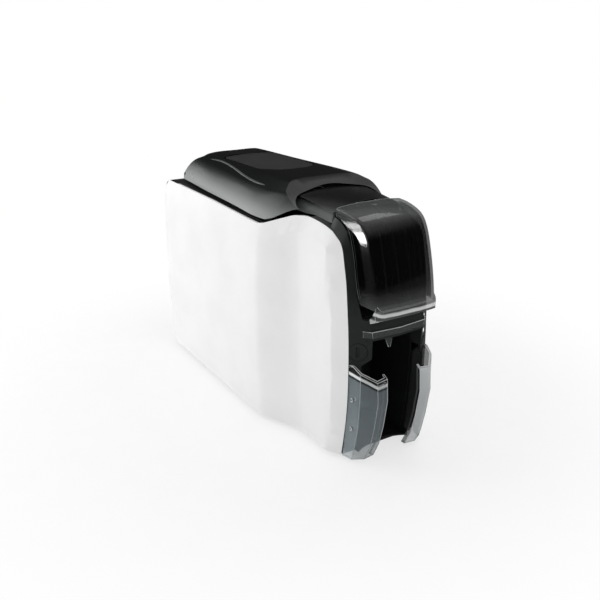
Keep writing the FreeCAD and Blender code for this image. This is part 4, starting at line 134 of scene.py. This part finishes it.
def ramp(tree, value, low, high):
    """Colour between two colours by a noise value."""
    node = tree.nodes.new("ShaderNodeValToRGB")
    for element, position, colour in zip(node.color_ramp.elements, COLOUR_SPAN, (low, high)):
        element.position = position
        element.color = (*colour, 1)
    tree.links.new(value, node.inputs["Fac"])
    return node.outputs["Color"]


def bump(tree, shader, value, strength, depth):
    """Fine relief from a noise value."""
    node = tree.nodes.new("ShaderNodeBump")
    node.inputs["Strength"].default_value = strength
    node.inputs["Distance"].default_value = depth
    tree.links.new(value, node.inputs["Height"])
    tree.links.new(node.outputs["Normal"], shader.inputs["Normal"])


def moulded(tree, shader, cloud, rough, grain, relief, spec):
    """Uneven sheen and fine spark-eroded grain of moulded plastic."""
    tree.links.new(remap(tree, cloud, NUMBER_SPAN, rough), shader.inputs["Roughness"])
    bump(tree, shader, noise(tree, grain, GRAIN_DETAIL), relief, GRAIN_DEPTH)
    shader.inputs["Specular IOR Level"].default_value = spec


def plastic(name, low, high, rough, grain=GRAIN_SCALE, relief=0.12, spec=0.5):
    """Moulded plastic with a cloudy colour."""
    mat, tree, shader = new_material(name)
    cloud = noise(tree, CLOUD_SCALE)
    tree.links.new(ramp(tree, cloud, low, high), shader.inputs["Base Color"])
    moulded(tree, shader, cloud, rough, grain, relief, spec)
    return mat


def metal(name, low, high, rough, stretch):
    """Metal with a drawn or turned grain along one direction."""
    mat, tree, shader = new_material(name)
    grain = noise(tree, METAL_SCALE, METAL_DETAIL, METAL_ROUGHNESS, stretch)
    tree.links.new(ramp(tree, grain, low, high), shader.inputs["Base Color"])
    tree.links.new(remap(tree, grain, NUMBER_SPAN, rough), shader.inputs["Roughness"])
    shader.inputs["Metallic"].default_value = 1.0
    bump(tree, shader, grain, METAL_RELIEF, METAL_DEPTH)
    return mat


def height_tint(tree, bands, slant=None):
    """Colours by height in mm over the floor, their borders wandering a little.

    slant is (slope, last x in mm): up to that x the bands climb along X by the slope.
    """
    axes = split_axes(tree, "Object")
    level = axes["Z"]
    if slant:
        slope, last = slant
        held = maths(tree, "MINIMUM", axes["X"], last * MM)
        level = maths(tree, "MULTIPLY_ADD", held, slope, level)
    low, high = bands[0][0] * MM, bands[-1][0] * MM
    height = remap(tree, level, (low, high))
    streak = noise(tree, STREAK_SCALE, STREAK_DETAIL, STREAK_ROUGHNESS, STREAK_STRETCH)
    tint = tree.nodes.new("ShaderNodeValToRGB")
    while len(tint.color_ramp.elements) < len(bands):
        tint.color_ramp.elements.new(MIDDLE)
    for element, (z, colour) in zip(tint.color_ramp.elements, bands):
        element.position = (z * MM - low) / (high - low)
        element.color = (*colour, 1)
    wandering = maths(tree, "MULTIPLY_ADD", streak, BORDER_WANDER, height)
    tree.links.new(wandering, tint.inputs["Fac"])
    return tint.outputs["Color"]


def reflection_banded_plastic(name, bands, rough, grain, relief, spec):
    """Moulded plastic that is paler towards its hem, as a painted reflection."""
    mat, tree, shader = new_material(name)
    tree.links.new(height_tint(tree, bands), shader.inputs["Base Color"])
    moulded(tree, shader, noise(tree, CLOUD_SCALE), rough, grain, relief, spec)
    return mat


def smoked(name, bands, edge, opacity, rough, slant=None, painted_side_shading=None):
    """Thin smoked clear plastic that lets part of the light straight through.

    It is tinted by height with painted highlights, reflections and shade, and has the edge colour
    at grazing angles as a painted sheen. The side factor scales the tint on the faces that look
    sideways, as painted side light or shade; those that look forward keep it.
    """
    mat, tree, shader = new_material(name)
    cloud = noise(tree, SMOKE_SCALE)
    body = height_tint(tree, bands, slant)
    if painted_side_shading is not None:
        share = remap(tree, split_axes(tree, "Normal")["Y"], FRONT_TO_SIDE_SHADING, (1.0, painted_side_shading))
        scaled = tree.nodes.new("ShaderNodeVectorMath")
        scaled.operation = "SCALE"
        tree.links.new(body, scaled.inputs["Vector"])
        tree.links.new(share, scaled.inputs["Scale"])
        body = scaled.outputs["Vector"]
    facing = tree.nodes.new("ShaderNodeLayerWeight")
    facing.inputs["Blend"].default_value = PAINTED_SHEEN_BLEND
    painted_sheen = tree.nodes.new("ShaderNodeMix")
    painted_sheen.data_type = "RGBA"
    painted_sheen.inputs["B"].default_value = (*edge, 1)
    tree.links.new(remap(tree, facing.outputs["Facing"], PAINTED_SHEEN_GRAZE), painted_sheen.inputs["Factor"])
    tree.links.new(body, painted_sheen.inputs["A"])
    tree.links.new(painted_sheen.outputs["Result"], shader.inputs["Base Color"])
    tree.links.new(remap(tree, cloud, NUMBER_SPAN, rough), shader.inputs["Roughness"])
    tree.links.new(remap(tree, cloud, NUMBER_SPAN, opacity), shader.inputs["Alpha"])
    bump(tree, shader, noise(tree, SMOKE_GRAIN, SMOKE_DETAIL), SMOKE_RELIEF, SMOKE_DEPTH)
    return mat


def glow(name, low, high, strength):
    """Lit white symbol."""
    mat, tree, shader = new_material(name)
    colour = ramp(tree, noise(tree, SYMBOL_SCALE), low, high)
    tree.links.new(colour, shader.inputs["Base Color"])
    tree.links.new(colour, shader.inputs["Emission Color"])
    shader.inputs["Emission Strength"].default_value = strength
    return mat


# Tints by height in mm; most of them are painted highlights, painted reflections and painted shade.
# The left guard's bands run on a slant, so they start under the floor.
# Hood: a pale painted highlight on its lip, a thin dark band, a white painted highlight band, then
# its own near-black smoke, with a grey painted reflection towards its top
HOOD_PAINTED_LIGHT = (
    (146.5, (0.62, 0.64, 0.64)), (152.4, (0.50, 0.52, 0.52)), (153.4, (0.04, 0.04, 0.04)),
    (156.4, (0.03, 0.03, 0.03)), (157.2, (0.92, 0.94, 0.94)), (159.4, (0.95, 0.97, 0.97)),
    (160.6, (0.09, 0.093, 0.093)), (168.0, (0.05, 0.052, 0.052)), (178.0, (0.002, 0.002, 0.002)),
    (222.0, (0.002, 0.002, 0.002)), (232.0, (0.012, 0.013, 0.013)), (239.5, (0.085, 0.09, 0.09)),
)
GUARD_SLANT = (0.6, -30.0)
# Left guard: paler painted light low down, a dark band of painted shade, and a bright painted
# highlight crescent near its top
GUARD_PAINTED_LIGHT = (
    (-20.0, (0.48, 0.52, 0.54)), (-12.0, (0.26, 0.295, 0.31)), (40.0, (0.20, 0.235, 0.25)),
    (66.0, (0.18, 0.21, 0.225)), (67.2, (0.012, 0.013, 0.014)), (68.4, (0.012, 0.013, 0.014)),
    (69.2, (0.85, 0.88, 0.88)), (71.4, (0.90, 0.93, 0.93)), (72.2, (0.014, 0.015, 0.016)),
    (84.0, (0.022, 0.024, 0.025)),
)
# Right guard: pale throughout as painted light from behind it, palest at its foot and its top
CLEAR_PAINTED_LIGHT = (
    (8.0, (0.80, 0.84, 0.85)), (15.0, (0.62, 0.65, 0.66)), (60.0, (0.60, 0.63, 0.64)),
    (90.0, (0.70, 0.73, 0.74)), (104.0, (0.80, 0.83, 0.84)),
)
LEDGE_BANDS = ((120.0, (0.050, 0.054, 0.054)), (150.0, (0.085, 0.090, 0.090)))
# Lid and feeder cap: near black on top, paler down their skirts towards the hem as a painted
# reflection
LID_PAINTED_REFLECTION = (
    (214.0, (0.330, 0.345, 0.340)), (221.0, (0.270, 0.285, 0.280)), (231.0, (0.115, 0.123, 0.121)),
    (239.0, (0.030, 0.033, 0.032)), (243.0, (0.007, 0.008, 0.008)),
    (252.0, (0.0030, 0.0034, 0.0034)),
)
CAP_PAINTED_REFLECTION = (
    (200.0, (0.250, 0.262, 0.258)), (222.0, (0.210, 0.222, 0.218)), (233.0, (0.120, 0.128, 0.125)),
    (237.5, (0.030, 0.032, 0.032)), (239.0, (0.0045, 0.0048, 0.0050)),
    (252.0, (0.0045, 0.0048, 0.0050)),
)
# Bright painted highlight lines along the clear parts' edges, by height
EDGE_HIGHLIGHT_BANDS = (
    (0.0, (0.72, 0.75, 0.76)), (112.0, (0.86, 0.88, 0.88)), (128.0, (0.40, 0.42, 0.42)),
    (147.0, (0.80, 0.82, 0.82)), (170.0, (0.38, 0.40, 0.40)), (238.0, (0.34, 0.36, 0.36)),
    (252.0, (0.60, 0.62, 0.62)),
)

# One look for each material slot. Plastic: two colours, roughness, grain scale, relief. Metal:
# two colours, roughness, stretch of the grain. Smoked: tints with painted light, edge colour of the
# painted sheen, opacity, roughness.
mats = {
    "shell_white": plastic("shell_white_look", (0.85, 0.85, 0.85), (0.88, 0.88, 0.88),
                           (0.38, 0.48), 700.0, 0.05, spec=0.16),
    "dark_plastic": plastic("dark_plastic_look", (0.0095, 0.0105, 0.0104),
                            (0.0130, 0.0143, 0.0142), (0.26, 0.36), spec=0.3),
    "smoked_clear": smoked("smoked_clear_look", HOOD_PAINTED_LIGHT, (0.16, 0.17, 0.17),
                           (0.60, 0.68), (0.04, 0.08)),
    "steel_plate": metal("steel_plate_look", (0.50, 0.51, 0.52), (0.62, 0.63, 0.64),
                         (0.26, 0.42), (1, 14, 1)),
    "rubber_black": plastic("rubber_black_look", (0.014, 0.014, 0.014), (0.024, 0.024, 0.024),
                            (0.62, 0.8), 500.0, 0.3),
    "icon_white": glow("icon_white_look", (0.80, 0.82, 0.85), (0.92, 0.94, 0.97), 0.6),
    "ribbon_film": plastic("ribbon_film_look", (0.010, 0.010, 0.014), (0.020, 0.018, 0.026),
                           (0.10, 0.2), 60.0, 0.04),
    "board_green": plastic("board_green_look", (0.008, 0.075, 0.030), (0.014, 0.110, 0.045),
                           (0.28, 0.42), 300.0, 0.2),
    "chip_black": plastic("chip_black_look", (0.012, 0.012, 0.013), (0.020, 0.020, 0.022),
                          (0.45, 0.6), 1200.0, 0.25),
    "shaft_chrome": metal("shaft_chrome_look", (0.62, 0.63, 0.65), (0.74, 0.75, 0.77),
                          (0.12, 0.22), (1, 30, 30)),
    "head_alloy": metal("head_alloy_look", (0.58, 0.59, 0.61), (0.70, 0.71, 0.73),
                        (0.30, 0.42), (20, 1, 1)),
    "cassette_grey": plastic("cassette_grey_look", (0.20, 0.21, 0.23), (0.26, 0.27, 0.29),
                             (0.36, 0.5)),
    "roller_grey": plastic("roller_grey_look", (0.060, 0.062, 0.066), (0.085, 0.088, 0.092),
                           (0.5, 0.65), 400.0, 0.2),
}
lid_reflection_look = reflection_banded_plastic("lid_reflection_look", LID_PAINTED_REFLECTION, (0.24, 0.28), 1100.0, 0.03, 0.12)
cap_reflection_look = reflection_banded_plastic("cap_reflection_look", CAP_PAINTED_REFLECTION, (0.18, 0.26), 1100.0, 0.10, 0.3)
pad_look = plastic("pad_look", (0.0150, 0.0155, 0.0160), (0.0200, 0.0208, 0.0215),
                   (0.34, 0.46), 1300.0, 0.22, spec=0.4)
fascia_look = plastic("fascia_look", (0.0210, 0.0232, 0.0230), (0.0270, 0.0295, 0.0292),
                      (0.26, 0.36), spec=0.3)
# Pale colour of the painted highlights on the lid's crests and round the pad's top edge
highlight_line_look = plastic("highlight_line_look", (0.050, 0.054, 0.053), (0.070, 0.075, 0.074),
                     (0.30, 0.40), 900.0, 0.03)
# Near black of the painted shadow lines in the pad's gap and round the lock's face
shadow_line_look = plastic("shadow_line_look", (0.0012, 0.0012, 0.0012), (0.0022, 0.0022, 0.0022),
                   (0.5, 0.7), 900.0, 0.05, spec=0.05)
brass_look = metal("brass_look", (0.62, 0.44, 0.16), (0.74, 0.55, 0.24), (0.22, 0.34), (30, 1, 1))
# The left guard's painted light is half again as strong on faces that look sideways
guard_look = smoked("guard_look", GUARD_PAINTED_LIGHT, (0.34, 0.36, 0.37), (0.46, 0.54), (0.05, 0.09),
                    slant=GUARD_SLANT, painted_side_shading=1.5)
# The right guard keeps its painted light on faces that look forward and turns nearly black, as
# painted shade, on faces that look sideways
clear_look = smoked("clear_look", CLEAR_PAINTED_LIGHT, (0.30, 0.32, 0.33), (0.52, 0.60), (0.05, 0.09),
                    painted_side_shading=0.05)
ledge_look = smoked("ledge_look", LEDGE_BANDS, (0.30, 0.31, 0.31), (0.70, 0.80), (0.10, 0.18))
edge_highlight_look = smoked("edge_highlight_look", EDGE_HIGHLIGHT_BANDS, (0.90, 0.91, 0.91), (0.80, 0.92), (0.10, 0.18))

# Nodes with a look of their own; the others take the look of their slot
special = {
    "top_lid": lid_reflection_look, "release_pad": pad_look, "feeder_cap": cap_reflection_look,
    "output_guard_left": guard_look, "output_guard_right": clear_look,
    "exit_ledge": ledge_look, "exit_tongue": ledge_look, "front_fascia": fascia_look,
    "lock_plug": fascia_look, "indicator_panel": fascia_look, "rear_cover": fascia_look,
}
slot_of = {item["node"]: item["material_slot"] for item in frame["record"]["subparts"]}

# Width in mm of the broken edges
EDGE_WIDTH = 0.2
soft_edges = {
    "top_lid": 0.5, "release_pad": 0.6, "feeder_cap": 0.5, "hood": 0.35, "side_panel_left": 0.5,
    "side_panel_right": 0.5, "front_fascia": 0.35, "output_guard_left": 0.4,
    "output_guard_right": 0.4,
}
EDGE_SEGMENTS = 2
EDGE_ANGLE = math.radians(32)


def finish_node(name, node):
    """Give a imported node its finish, joined vertices and softly broken edges."""
    node.data.materials.clear()
    node.data.materials.append(special.get(name, mats[slot_of[name]]))
    for face in node.data.polygons:
        face.use_smooth = True
    weld = node.modifiers.new("weld", "WELD")
    weld.merge_threshold = WELD
    bevel = node.modifiers.new("bevel", "BEVEL")
    bevel.width = soft_edges.get(name, EDGE_WIDTH) * MM
    bevel.segments = EDGE_SEGMENTS
    bevel.limit_method = "ANGLE"
    bevel.angle_limit = EDGE_ANGLE
    node.modifiers.new("even", "WEIGHTED_NORMAL")


for node_name, node_object in nodes.items():
    finish_node(node_name, node_object)


# Trim: thin round curves that ride on the bodies
def round_curve(name, radius, resolution):
    """Empty round curve with closed ends; the radius is in metres."""
    data = bpy.data.curves.new(name, "CURVE")
    data.dimensions = "3D"
    data.bevel_depth = radius
    data.bevel_resolution = resolution
    data.use_fill_caps = True
    return data


def add_line(data, places, kind="POLY"):
    """One spline through places in metres."""
    spline = data.splines.new(kind)
    spline.points.add(len(places) - 1)
    for point, place in zip(spline.points, places):
        point.co = (*place, 1)
    return spline


def hang(name, data, look, body):
    """Put a curve in the scene as a piece of a body."""
    piece = bpy.data.objects.new(name, data)
    bpy.context.scene.collection.objects.link(piece)
    data.materials.append(look)
    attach(piece, body)


# Ridges: one soft crest on each side of the lid, in mm, coloured paler than the lid as a painted
# highlight
CREST_LINE = (
    (-39.3, 146.0, 243.2), (-38.3, 121.8, 245.4), (-37.8, 95.2, 247.0), (-41.2, 63.4, 246.0),
    (-47.4, 28.4, 244.3), (-51.0, 0.1, 243.4), (-51.5, -18.0, 243.4), (-50.5, -34.0, 243.6),
)
CREST_RADIUS = 1.5 * MM
CREST_RESOLUTION = 4
CREST_ORDER = 3
CREST_TAPER = 0.2


def crest(name, sign):
    """Soft raised ridge that dies out at both ends, paler than the lid as a painted highlight."""
    data = round_curve(name, CREST_RADIUS, CREST_RESOLUTION)
    places = [(sign * x * MM, y * MM, z * MM) for x, y, z in CREST_LINE]
    spline = add_line(data, places, "NURBS")
    spline.order_u = CREST_ORDER
    spline.use_endpoint_u = True
    for end in (0, -1):
        spline.points[end].radius = CREST_TAPER
    hang(name, data, highlight_line_look, "lid")


# Fittings: small parts made of round wire
WIRE_RESOLUTION = 3
CONTACTS = 8
CONTACT_PITCH = 1.02 * MM
CONTACT_RADIUS = 0.2 * MM
# Depth in mm and drop in mm from the top of the socket, root to tip
CONTACT_LINE = ((177.0, 1.6), (189.5, 1.8), (184.5, 3.6))
BOARD_FACE = 153.9 * MM
BOARD_PARTS = 14
BOARD_START = -51.0
BOARD_PITCH = 7.6
BOARD_PART_RADIUS = 0.8 * MM
BOARD_PART_LENGTH = 1.1 * MM
# Shift along X in mm and height in mm of the two rows
BOARD_ROWS = ((0.0, 51.5), (2.2, 47.5))
SPRING_X = 14.8
SPRING_Y = 20.0
SPRING_FOOT = 158.3
SPRING_TOP = 165.7
SPRING_RADIUS = 4.45
SPRING_TURNS = 4.5
SPRING_STEPS = 14
SPRING_WIRE = 0.3 * MM
SEAL_LINE = (
    (58.0, -50.0), (60.0, -35.0), (61.0, -20.0), (59.0, -5.0), (57.0, 25.0), (56.0, 55.0),
    (54.0, 85.0), (52.0, 115.0), (49.0, 145.0), (47.5, 163.0),
)
SEAL_HEIGHT = 215.6 * MM
SEAL_RADIUS = 2.3 * MM


def wire(name, lines, radius, body, look):
    """Round wires along lines of points in metres, all one piece."""
    data = round_curve(name, radius, WIRE_RESOLUTION)
    for line in lines:
        add_line(data, line)
    hang(name, data, look, body)


def board_parts():
    """Rows of small parts on the main board, between the sockets and the chips."""
    lines = []
    for index in range(BOARD_PARTS):
        for shift, z in BOARD_ROWS:
            x = (BOARD_START + BOARD_PITCH * index + shift) * MM
            lines.append([(x, BOARD_FACE, z * MM), (x, BOARD_FACE + BOARD_PART_LENGTH, z * MM)])
    wire("board_small_parts", lines, BOARD_PART_RADIUS, "chassis", mats["chip_black"])


def coil(x):
    """Points of an upright coil spring, in metres."""
    count = int(SPRING_TURNS * SPRING_STEPS)
    points = []
    for index in range(count + 1):
        angle = math.tau * index / SPRING_STEPS
        level = SPRING_FOOT + (SPRING_TOP - SPRING_FOOT) * index / count
        points.append(((x + SPRING_RADIUS * math.cos(angle)) * MM,
                       (SPRING_Y + SPRING_RADIUS * math.sin(angle)) * MM, level * MM))
    return points


def head_springs():
    """Coil springs round the two posts that press the print head down."""
    lines = [coil(sign * SPRING_X) for sign in (-1, 1)]
    wire("head_springs", lines, SPRING_WIRE, "lid", mats["shaft_chrome"])


def lid_seal_and_gap_shade():
    """Rubber dust seal on the deck, just inside the lid's hem; its black fills the gap under the
    lid as painted shade.
    """
    lines = [[(sign * x * MM, y * MM, SEAL_HEIGHT) for x, y in SEAL_LINE] for sign in (-1, 1)]
    wire("lid_seal_and_gap_shade", lines, SEAL_RADIUS, "chassis", mats["rubber_black"])


def socket_contacts():
    """Sprung contacts in the network socket, bent down into its mouth."""
    low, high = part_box("network_socket")
    middle = (low[0] + high[0]) / 2
    lines = []
    for index in range(CONTACTS):
        x = middle + (index - (CONTACTS - 1) / 2) * CONTACT_PITCH
        lines.append([(x, y * MM, high[2] - drop * MM) for y, drop in CONTACT_LINE])
    wire("network_contacts", lines, CONTACT_RADIUS, "chassis", brass_look)


# Beads: thin round pieces sunk into sharp edges, in the colour of a painted highlight line or a
# painted shadow line
BEAD_RESOLUTION = 2
BEAD_SHORTEST = 2.0 * MM
SUNK = 0.8
DEEP = 1.3


def edge_out(edge):
    """Direction an edge faces: the sum of its two faces' normals."""
    return edge.link_faces[0].normal + edge.link_faces[1].normal


def sharp_edges(mesh, angle, keep):
    """Sharp convex edges that keep() accepts by their middle and the way they face."""
    edges = []
    for edge in mesh.edges:
        if len(edge.link_faces) != 2 or edge.calc_face_angle(0.0) < angle:
            continue
        middle = (edge.verts[0].co + edge.verts[1].co) / 2
        if edge.is_convex and keep(middle, edge_out(edge).normalized()):
            edges.append(edge)
    return edges


def sharp_runs(node, angle, keep):
    """Chains of points along the sharp edges of a node, each with its inward direction."""
    mesh = bmesh.new()
    mesh.from_mesh(node.data)
    bmesh.ops.remove_doubles(mesh, verts=mesh.verts, dist=WELD)
    edges = sharp_edges(mesh, angle, keep)
    inward = {}
    touching = {}
    for edge in edges:
        for vert in edge.verts:
            inward[vert.index] = inward.get(vert.index, Vector()) - edge_out(edge)
            touching.setdefault(vert.index, []).append(edge.index)
    left = {edge.index: edge for edge in edges}
    runs = []
    while left:
        edge = left.pop(min(left))
        chain = [edge.verts[0], edge.verts[1]]
        for end in (-1, 0):
            while True:
                tip = chain[end]
                following = [index for index in touching[tip.index] if index in left]
                if len(touching[tip.index]) != 2 or not following:
                    break
                edge = left.pop(following[0])
                chain.insert(len(chain) if end else 0, edge.other_vert(tip))
        runs.append([(vert.co.copy(), inward[vert.index].normalized()) for vert in chain])
    mesh.free()
    return runs


def bead(name, runs, radius, body, look, sink):
    """Thin round bead along runs of edge points, sunk into the edge, in the colour of a painted
    highlight or painted shadow line; the radius is in mm.
    """
    data = round_curve(name, radius * MM, BEAD_RESOLUTION)
    for run in runs:
        length = sum((a[0] - b[0]).length for a, b in zip(run, run[1:]))
        if length < BEAD_SHORTEST:
            continue
        depth = radius * MM * sink * math.sqrt(2)
        add_line(data, [place + inward * depth for place, inward in run])
    hang(name, data, look, body)


# Which edges carry a bead, by where their middle is and the way they face
# Limits on the parts of the unit vector out
HOOD_FORWARD, HOOD_UP, HOOD_ASIDE = -0.15, 0.5, 0.75
RIB_BACKWARD, RIB_ASIDE = 0.2, 0.9
GUARD_BACKWARD, GUARD_UPRIGHT = 0.3, 0.6
TRIM_FORWARD, TRIM_DOWN = -0.3, -0.3
PAD_UP = 0.3
LOCK_FORWARD = -0.1
# Boxes in metres that part the rib edges and the pad's mouth from the other edges
RIB_FOOT, RIB_SIDE, RIB_BACK = 0.165, 0.05, -0.135
PAD_TOP = 0.248
MOUTH_SIDE, MOUTH_FRONT, MOUTH_BACK, MOUTH_TOP = 0.037, -0.006, 0.110, 0.246


def outside_hood(middle, out):
    """Outer edges of the hood: not those that face into the hopper."""
    return out.y < HOOD_FORWARD or out.z > HOOD_UP or abs(out.x) > HOOD_ASIDE


def inside_hood(middle, out):
    """Edges of the hood's inner ribs, away from its back and its lip."""
    within = middle.z > RIB_FOOT and abs(middle.x) < RIB_SIDE and middle.y < RIB_BACK
    return within and out.y > RIB_BACKWARD and abs(out.x) < RIB_ASIDE


def outside_guard(middle, out):
    """Outer edges of a guard: its top, its front lip and its foot."""
    return out.y < GUARD_BACKWARD or abs(out.z) > GUARD_UPRIGHT


def front_top(middle, out):
    """Edges that face forward and not down."""
    return out.y < TRIM_FORWARD and out.z > TRIM_DOWN


def face_up(middle, out):
    """Edges round the top of the pad."""
    return out.z > PAD_UP and middle.z > PAD_TOP


def pad_mouth(middle, out):
    """Edges round the opening in the lid that the pad sits in."""
    within = abs(middle.x) < MOUTH_SIDE and MOUTH_FRONT < middle.y < MOUTH_BACK
    return within and out.z > PAD_UP and middle.z > MOUTH_TOP


def lock_front(middle, out):
    """Edges of the lock's round face."""
    return out.y < LOCK_FORWARD


# Name, node, sharpness in degrees, edges, radius in mm, body, look (painted highlight or painted
# shadow), slot, how far it is sunk
BEADS = (
    # Painted highlight round the pad's top edge
    ("pad_rim_highlight", "release_pad", 25, face_up, 0.3, "pad", highlight_line_look, "dark_plastic", DEEP),
    # Painted shadow lines: in the gap round the pad and round the lock's face
    ("pad_gap_shadow", "top_lid", 25, pad_mouth, 0.55, "lid", shadow_line_look, "dark_plastic", DEEP),
    ("lock_ring_shadow", "lock_plug", 25, lock_front, 0.4, "chassis", shadow_line_look, "dark_plastic", SUNK),
    ("hood_rim_highlight", "hood", 38, outside_hood, 0.32, "hood_body", edge_highlight_look, "smoked_clear", SUNK),
    ("hood_rib_highlights", "hood", 38, inside_hood, 0.22, "hood_body", edge_highlight_look, "smoked_clear", SUNK),
    ("ledge_rim_highlight", "exit_ledge", 30, front_top, 0.45, "chassis", edge_highlight_look, "smoked_clear", SUNK),
    ("tongue_rim_highlight", "exit_tongue", 30, front_top, 0.28, "chassis", edge_highlight_look, "smoked_clear", SUNK),
    ("guard_rim_highlight_left", "output_guard_left", 24, outside_guard, 0.38, "chassis", edge_highlight_look,
     "smoked_clear", SUNK),
    ("guard_rim_highlight_right", "output_guard_right", 24, outside_guard, 0.38, "chassis", edge_highlight_look,
     "smoked_clear", SUNK),
)

crest("lid_crest_left", 1)
crest("lid_crest_right", -1)
board_parts()
head_springs()
lid_seal_and_gap_shade()
socket_contacts()
for bead_name, node_name, sharpness, keep, radius, body, look, slot, sink in BEADS:
    runs = sharp_runs(nodes[node_name], math.radians(sharpness), keep)
    bead(bead_name, runs, radius, body, look, sink)


# Studio: pale floor, soft lamps and an even surround, in metres
FLOOR_REACH = 6.0
FLOOR_SCALE = 30.0
FLOOR_COLOURS = ((0.90, 0.90, 0.90), (0.93, 0.93, 0.93))
FLOOR_ROUGHNESS = 0.9
FLOOR_SHEEN = 0.1
# The floor's own shading gives way to plain white between these distances from the middle
FLOOR_FADE = (0.20, 0.46)
FLOOR_WHITE = (0.70, 1.0)
PLAIN_WHITE = 1.0
FLOOR_MIRRORED = 0.16
FILL_STRENGTH = 0.73
# Mirrored sky: dark under the first height, white over the second
SKY_HEIGHTS = (0.48, 0.86)
SKY_STRENGTHS = (0.035, 1.0)


def mix_shaders(tree, share, first, second):
    """Two shaders mixed by a share of the second."""
    node = tree.nodes.new("ShaderNodeMixShader")
    tree.links.new(share, node.inputs["Fac"])
    tree.links.new(first, node.inputs[1])
    tree.links.new(second, node.inputs[2])
    return node.outputs["Shader"]


def emission(tree, strength):
    """Plain white light of a given strength."""
    node = tree.nodes.new("ShaderNodeEmission")
    node.inputs["Color"].default_value = WHITE
    node.inputs["Strength"].default_value = strength
    return node.outputs["Emission"]


def floor_look():
    """Pale matt floor that turns into plain white away from the printer."""
    mat, tree, shader = new_material("floor_look")
    colour = ramp(tree, noise(tree, FLOOR_SCALE), *FLOOR_COLOURS)
    tree.links.new(colour, shader.inputs["Base Color"])
    shader.inputs["Roughness"].default_value = FLOOR_ROUGHNESS
    shader.inputs["Specular IOR Level"].default_value = FLOOR_SHEEN
    coord = tree.nodes.new("ShaderNodeTexCoord")
    length = tree.nodes.new("ShaderNodeVectorMath")
    length.operation = "LENGTH"
    tree.links.new(coord.outputs["Object"], length.inputs[0])
    fade = remap(tree, length.outputs["Value"], FLOOR_FADE, FLOOR_WHITE, "SMOOTHSTEP")
    path = tree.nodes.new("ShaderNodeLightPath").outputs
    seen = maths(tree, "MAXIMUM", path["Is Camera Ray"], path["Is Transmission Ray"])
    white = maths(tree, "MULTIPLY", fade, seen)
    plain = mix_shaders(tree, white, shader.outputs["BSDF"], emission(tree, PLAIN_WHITE))
    surface = mix_shaders(tree, path["Is Glossy Ray"], plain, emission(tree, FLOOR_MIRRORED))
    tree.links.new(surface, tree.nodes["Material Output"].inputs["Surface"])
    return mat


def stage_floor():
    """Wide pale floor that takes the printer's shadow."""
    corners = [(sx * FLOOR_REACH, sy * FLOOR_REACH, 0)
               for sx, sy in ((-1, -1), (1, -1), (1, 1), (-1, 1))]
    mesh = bpy.data.meshes.new("floor")
    mesh.from_pydata(corners, [], [(0, 1, 2, 3)])
    floor = bpy.data.objects.new("floor", mesh)
    bpy.context.scene.collection.objects.link(floor)
    floor.data.materials.append(floor_look())


def surround():
    """White to the camera, a sky that darkens downwards to gloss, a plain soft fill to the rest."""
    world = bpy.data.worlds.new("surround")
    bpy.context.scene.world = world
    world.use_nodes = True
    tree = world.node_tree
    fill = tree.nodes["Background"]
    fill.inputs["Color"].default_value = WHITE
    fill.inputs["Strength"].default_value = FILL_STRENGTH
    sky = remap(tree, split_axes(tree, "Generated")["Z"], SKY_HEIGHTS, SKY_STRENGTHS)
    path = tree.nodes.new("ShaderNodeLightPath").outputs
    below = fill.outputs["Background"]
    for ray in ("Is Glossy Ray", "Is Transmission Ray", "Is Camera Ray"):
        other = tree.nodes.new("ShaderNodeBackground")
        other.inputs["Color"].default_value = WHITE
        if ray == "Is Glossy Ray":
            tree.links.new(sky, other.inputs["Strength"])
        below = mix_shaders(tree, path[ray], below, other.outputs["Background"])
    tree.links.new(below, tree.nodes["World Output"].inputs["Surface"])


def aim(obj, place, target):
    """Put an object at a place and turn it towards a target."""
    obj.location = place
    obj.rotation_mode = "QUATERNION"
    obj.rotation_quaternion = (Vector(target) - Vector(place)).to_track_quat("-Z", "Y")


def lamp(name, place, target, size, power):
    """Soft oblong lamp aimed at a point; the camera doesn't see it."""
    data = bpy.data.lights.new(name, "AREA")
    data.shape = "RECTANGLE"
    data.size, data.size_y = size
    data.energy = power
    obj = bpy.data.objects.new(name, data)
    bpy.context.scene.collection.objects.link(obj)
    obj.visible_camera = False
    aim(obj, place, target)


# Name, place, target, width and height, power in watts. The windows are mirrored in the hood.
LAMPS = (
    ("key", (-1.20, 1.15, 0.85), (0, 0, 0.12), (1.0, 0.9), 8.0),
    ("back", (-0.55, 1.55, 0.30), (0, 0, 0.22), (0.85, 0.50), 2.4),
    ("top", (0.78, 0.30, 1.50), (0, -0.05, 0.24), (0.5, 0.5), 1.6),
    ("window_low", (-0.517, 0.339, 0.021), (-0.035, -0.158, 0.222), (0.150, 0.022), 0.34),
    ("window_high", (-0.517, 0.339, 0.044), (-0.035, -0.158, 0.232), (0.150, 0.012), 0.09),
)
CAMERA_PLACE = (-0.40049, -0.65103, 0.39876)
CAMERA_TARGET = (0, -0.00687, 0.10684)
CAMERA_SENSOR = 36.0
CAMERA_LENS = 44.17
CAMERA_CLIP = (0.01, 50.0)

stage_floor()
surround()
for lamp_settings in LAMPS:
    lamp(*lamp_settings)

camera = bpy.data.objects.new("camera", bpy.data.cameras.new("camera"))
bpy.context.scene.collection.objects.link(camera)
camera.data.sensor_width = CAMERA_SENSOR
camera.data.lens = CAMERA_LENS
camera.data.clip_start, camera.data.clip_end = CAMERA_CLIP
aim(camera, CAMERA_PLACE, CAMERA_TARGET)
bpy.context.scene.camera = camera
bpy.context.scene.view_settings.view_transform = "Standard"
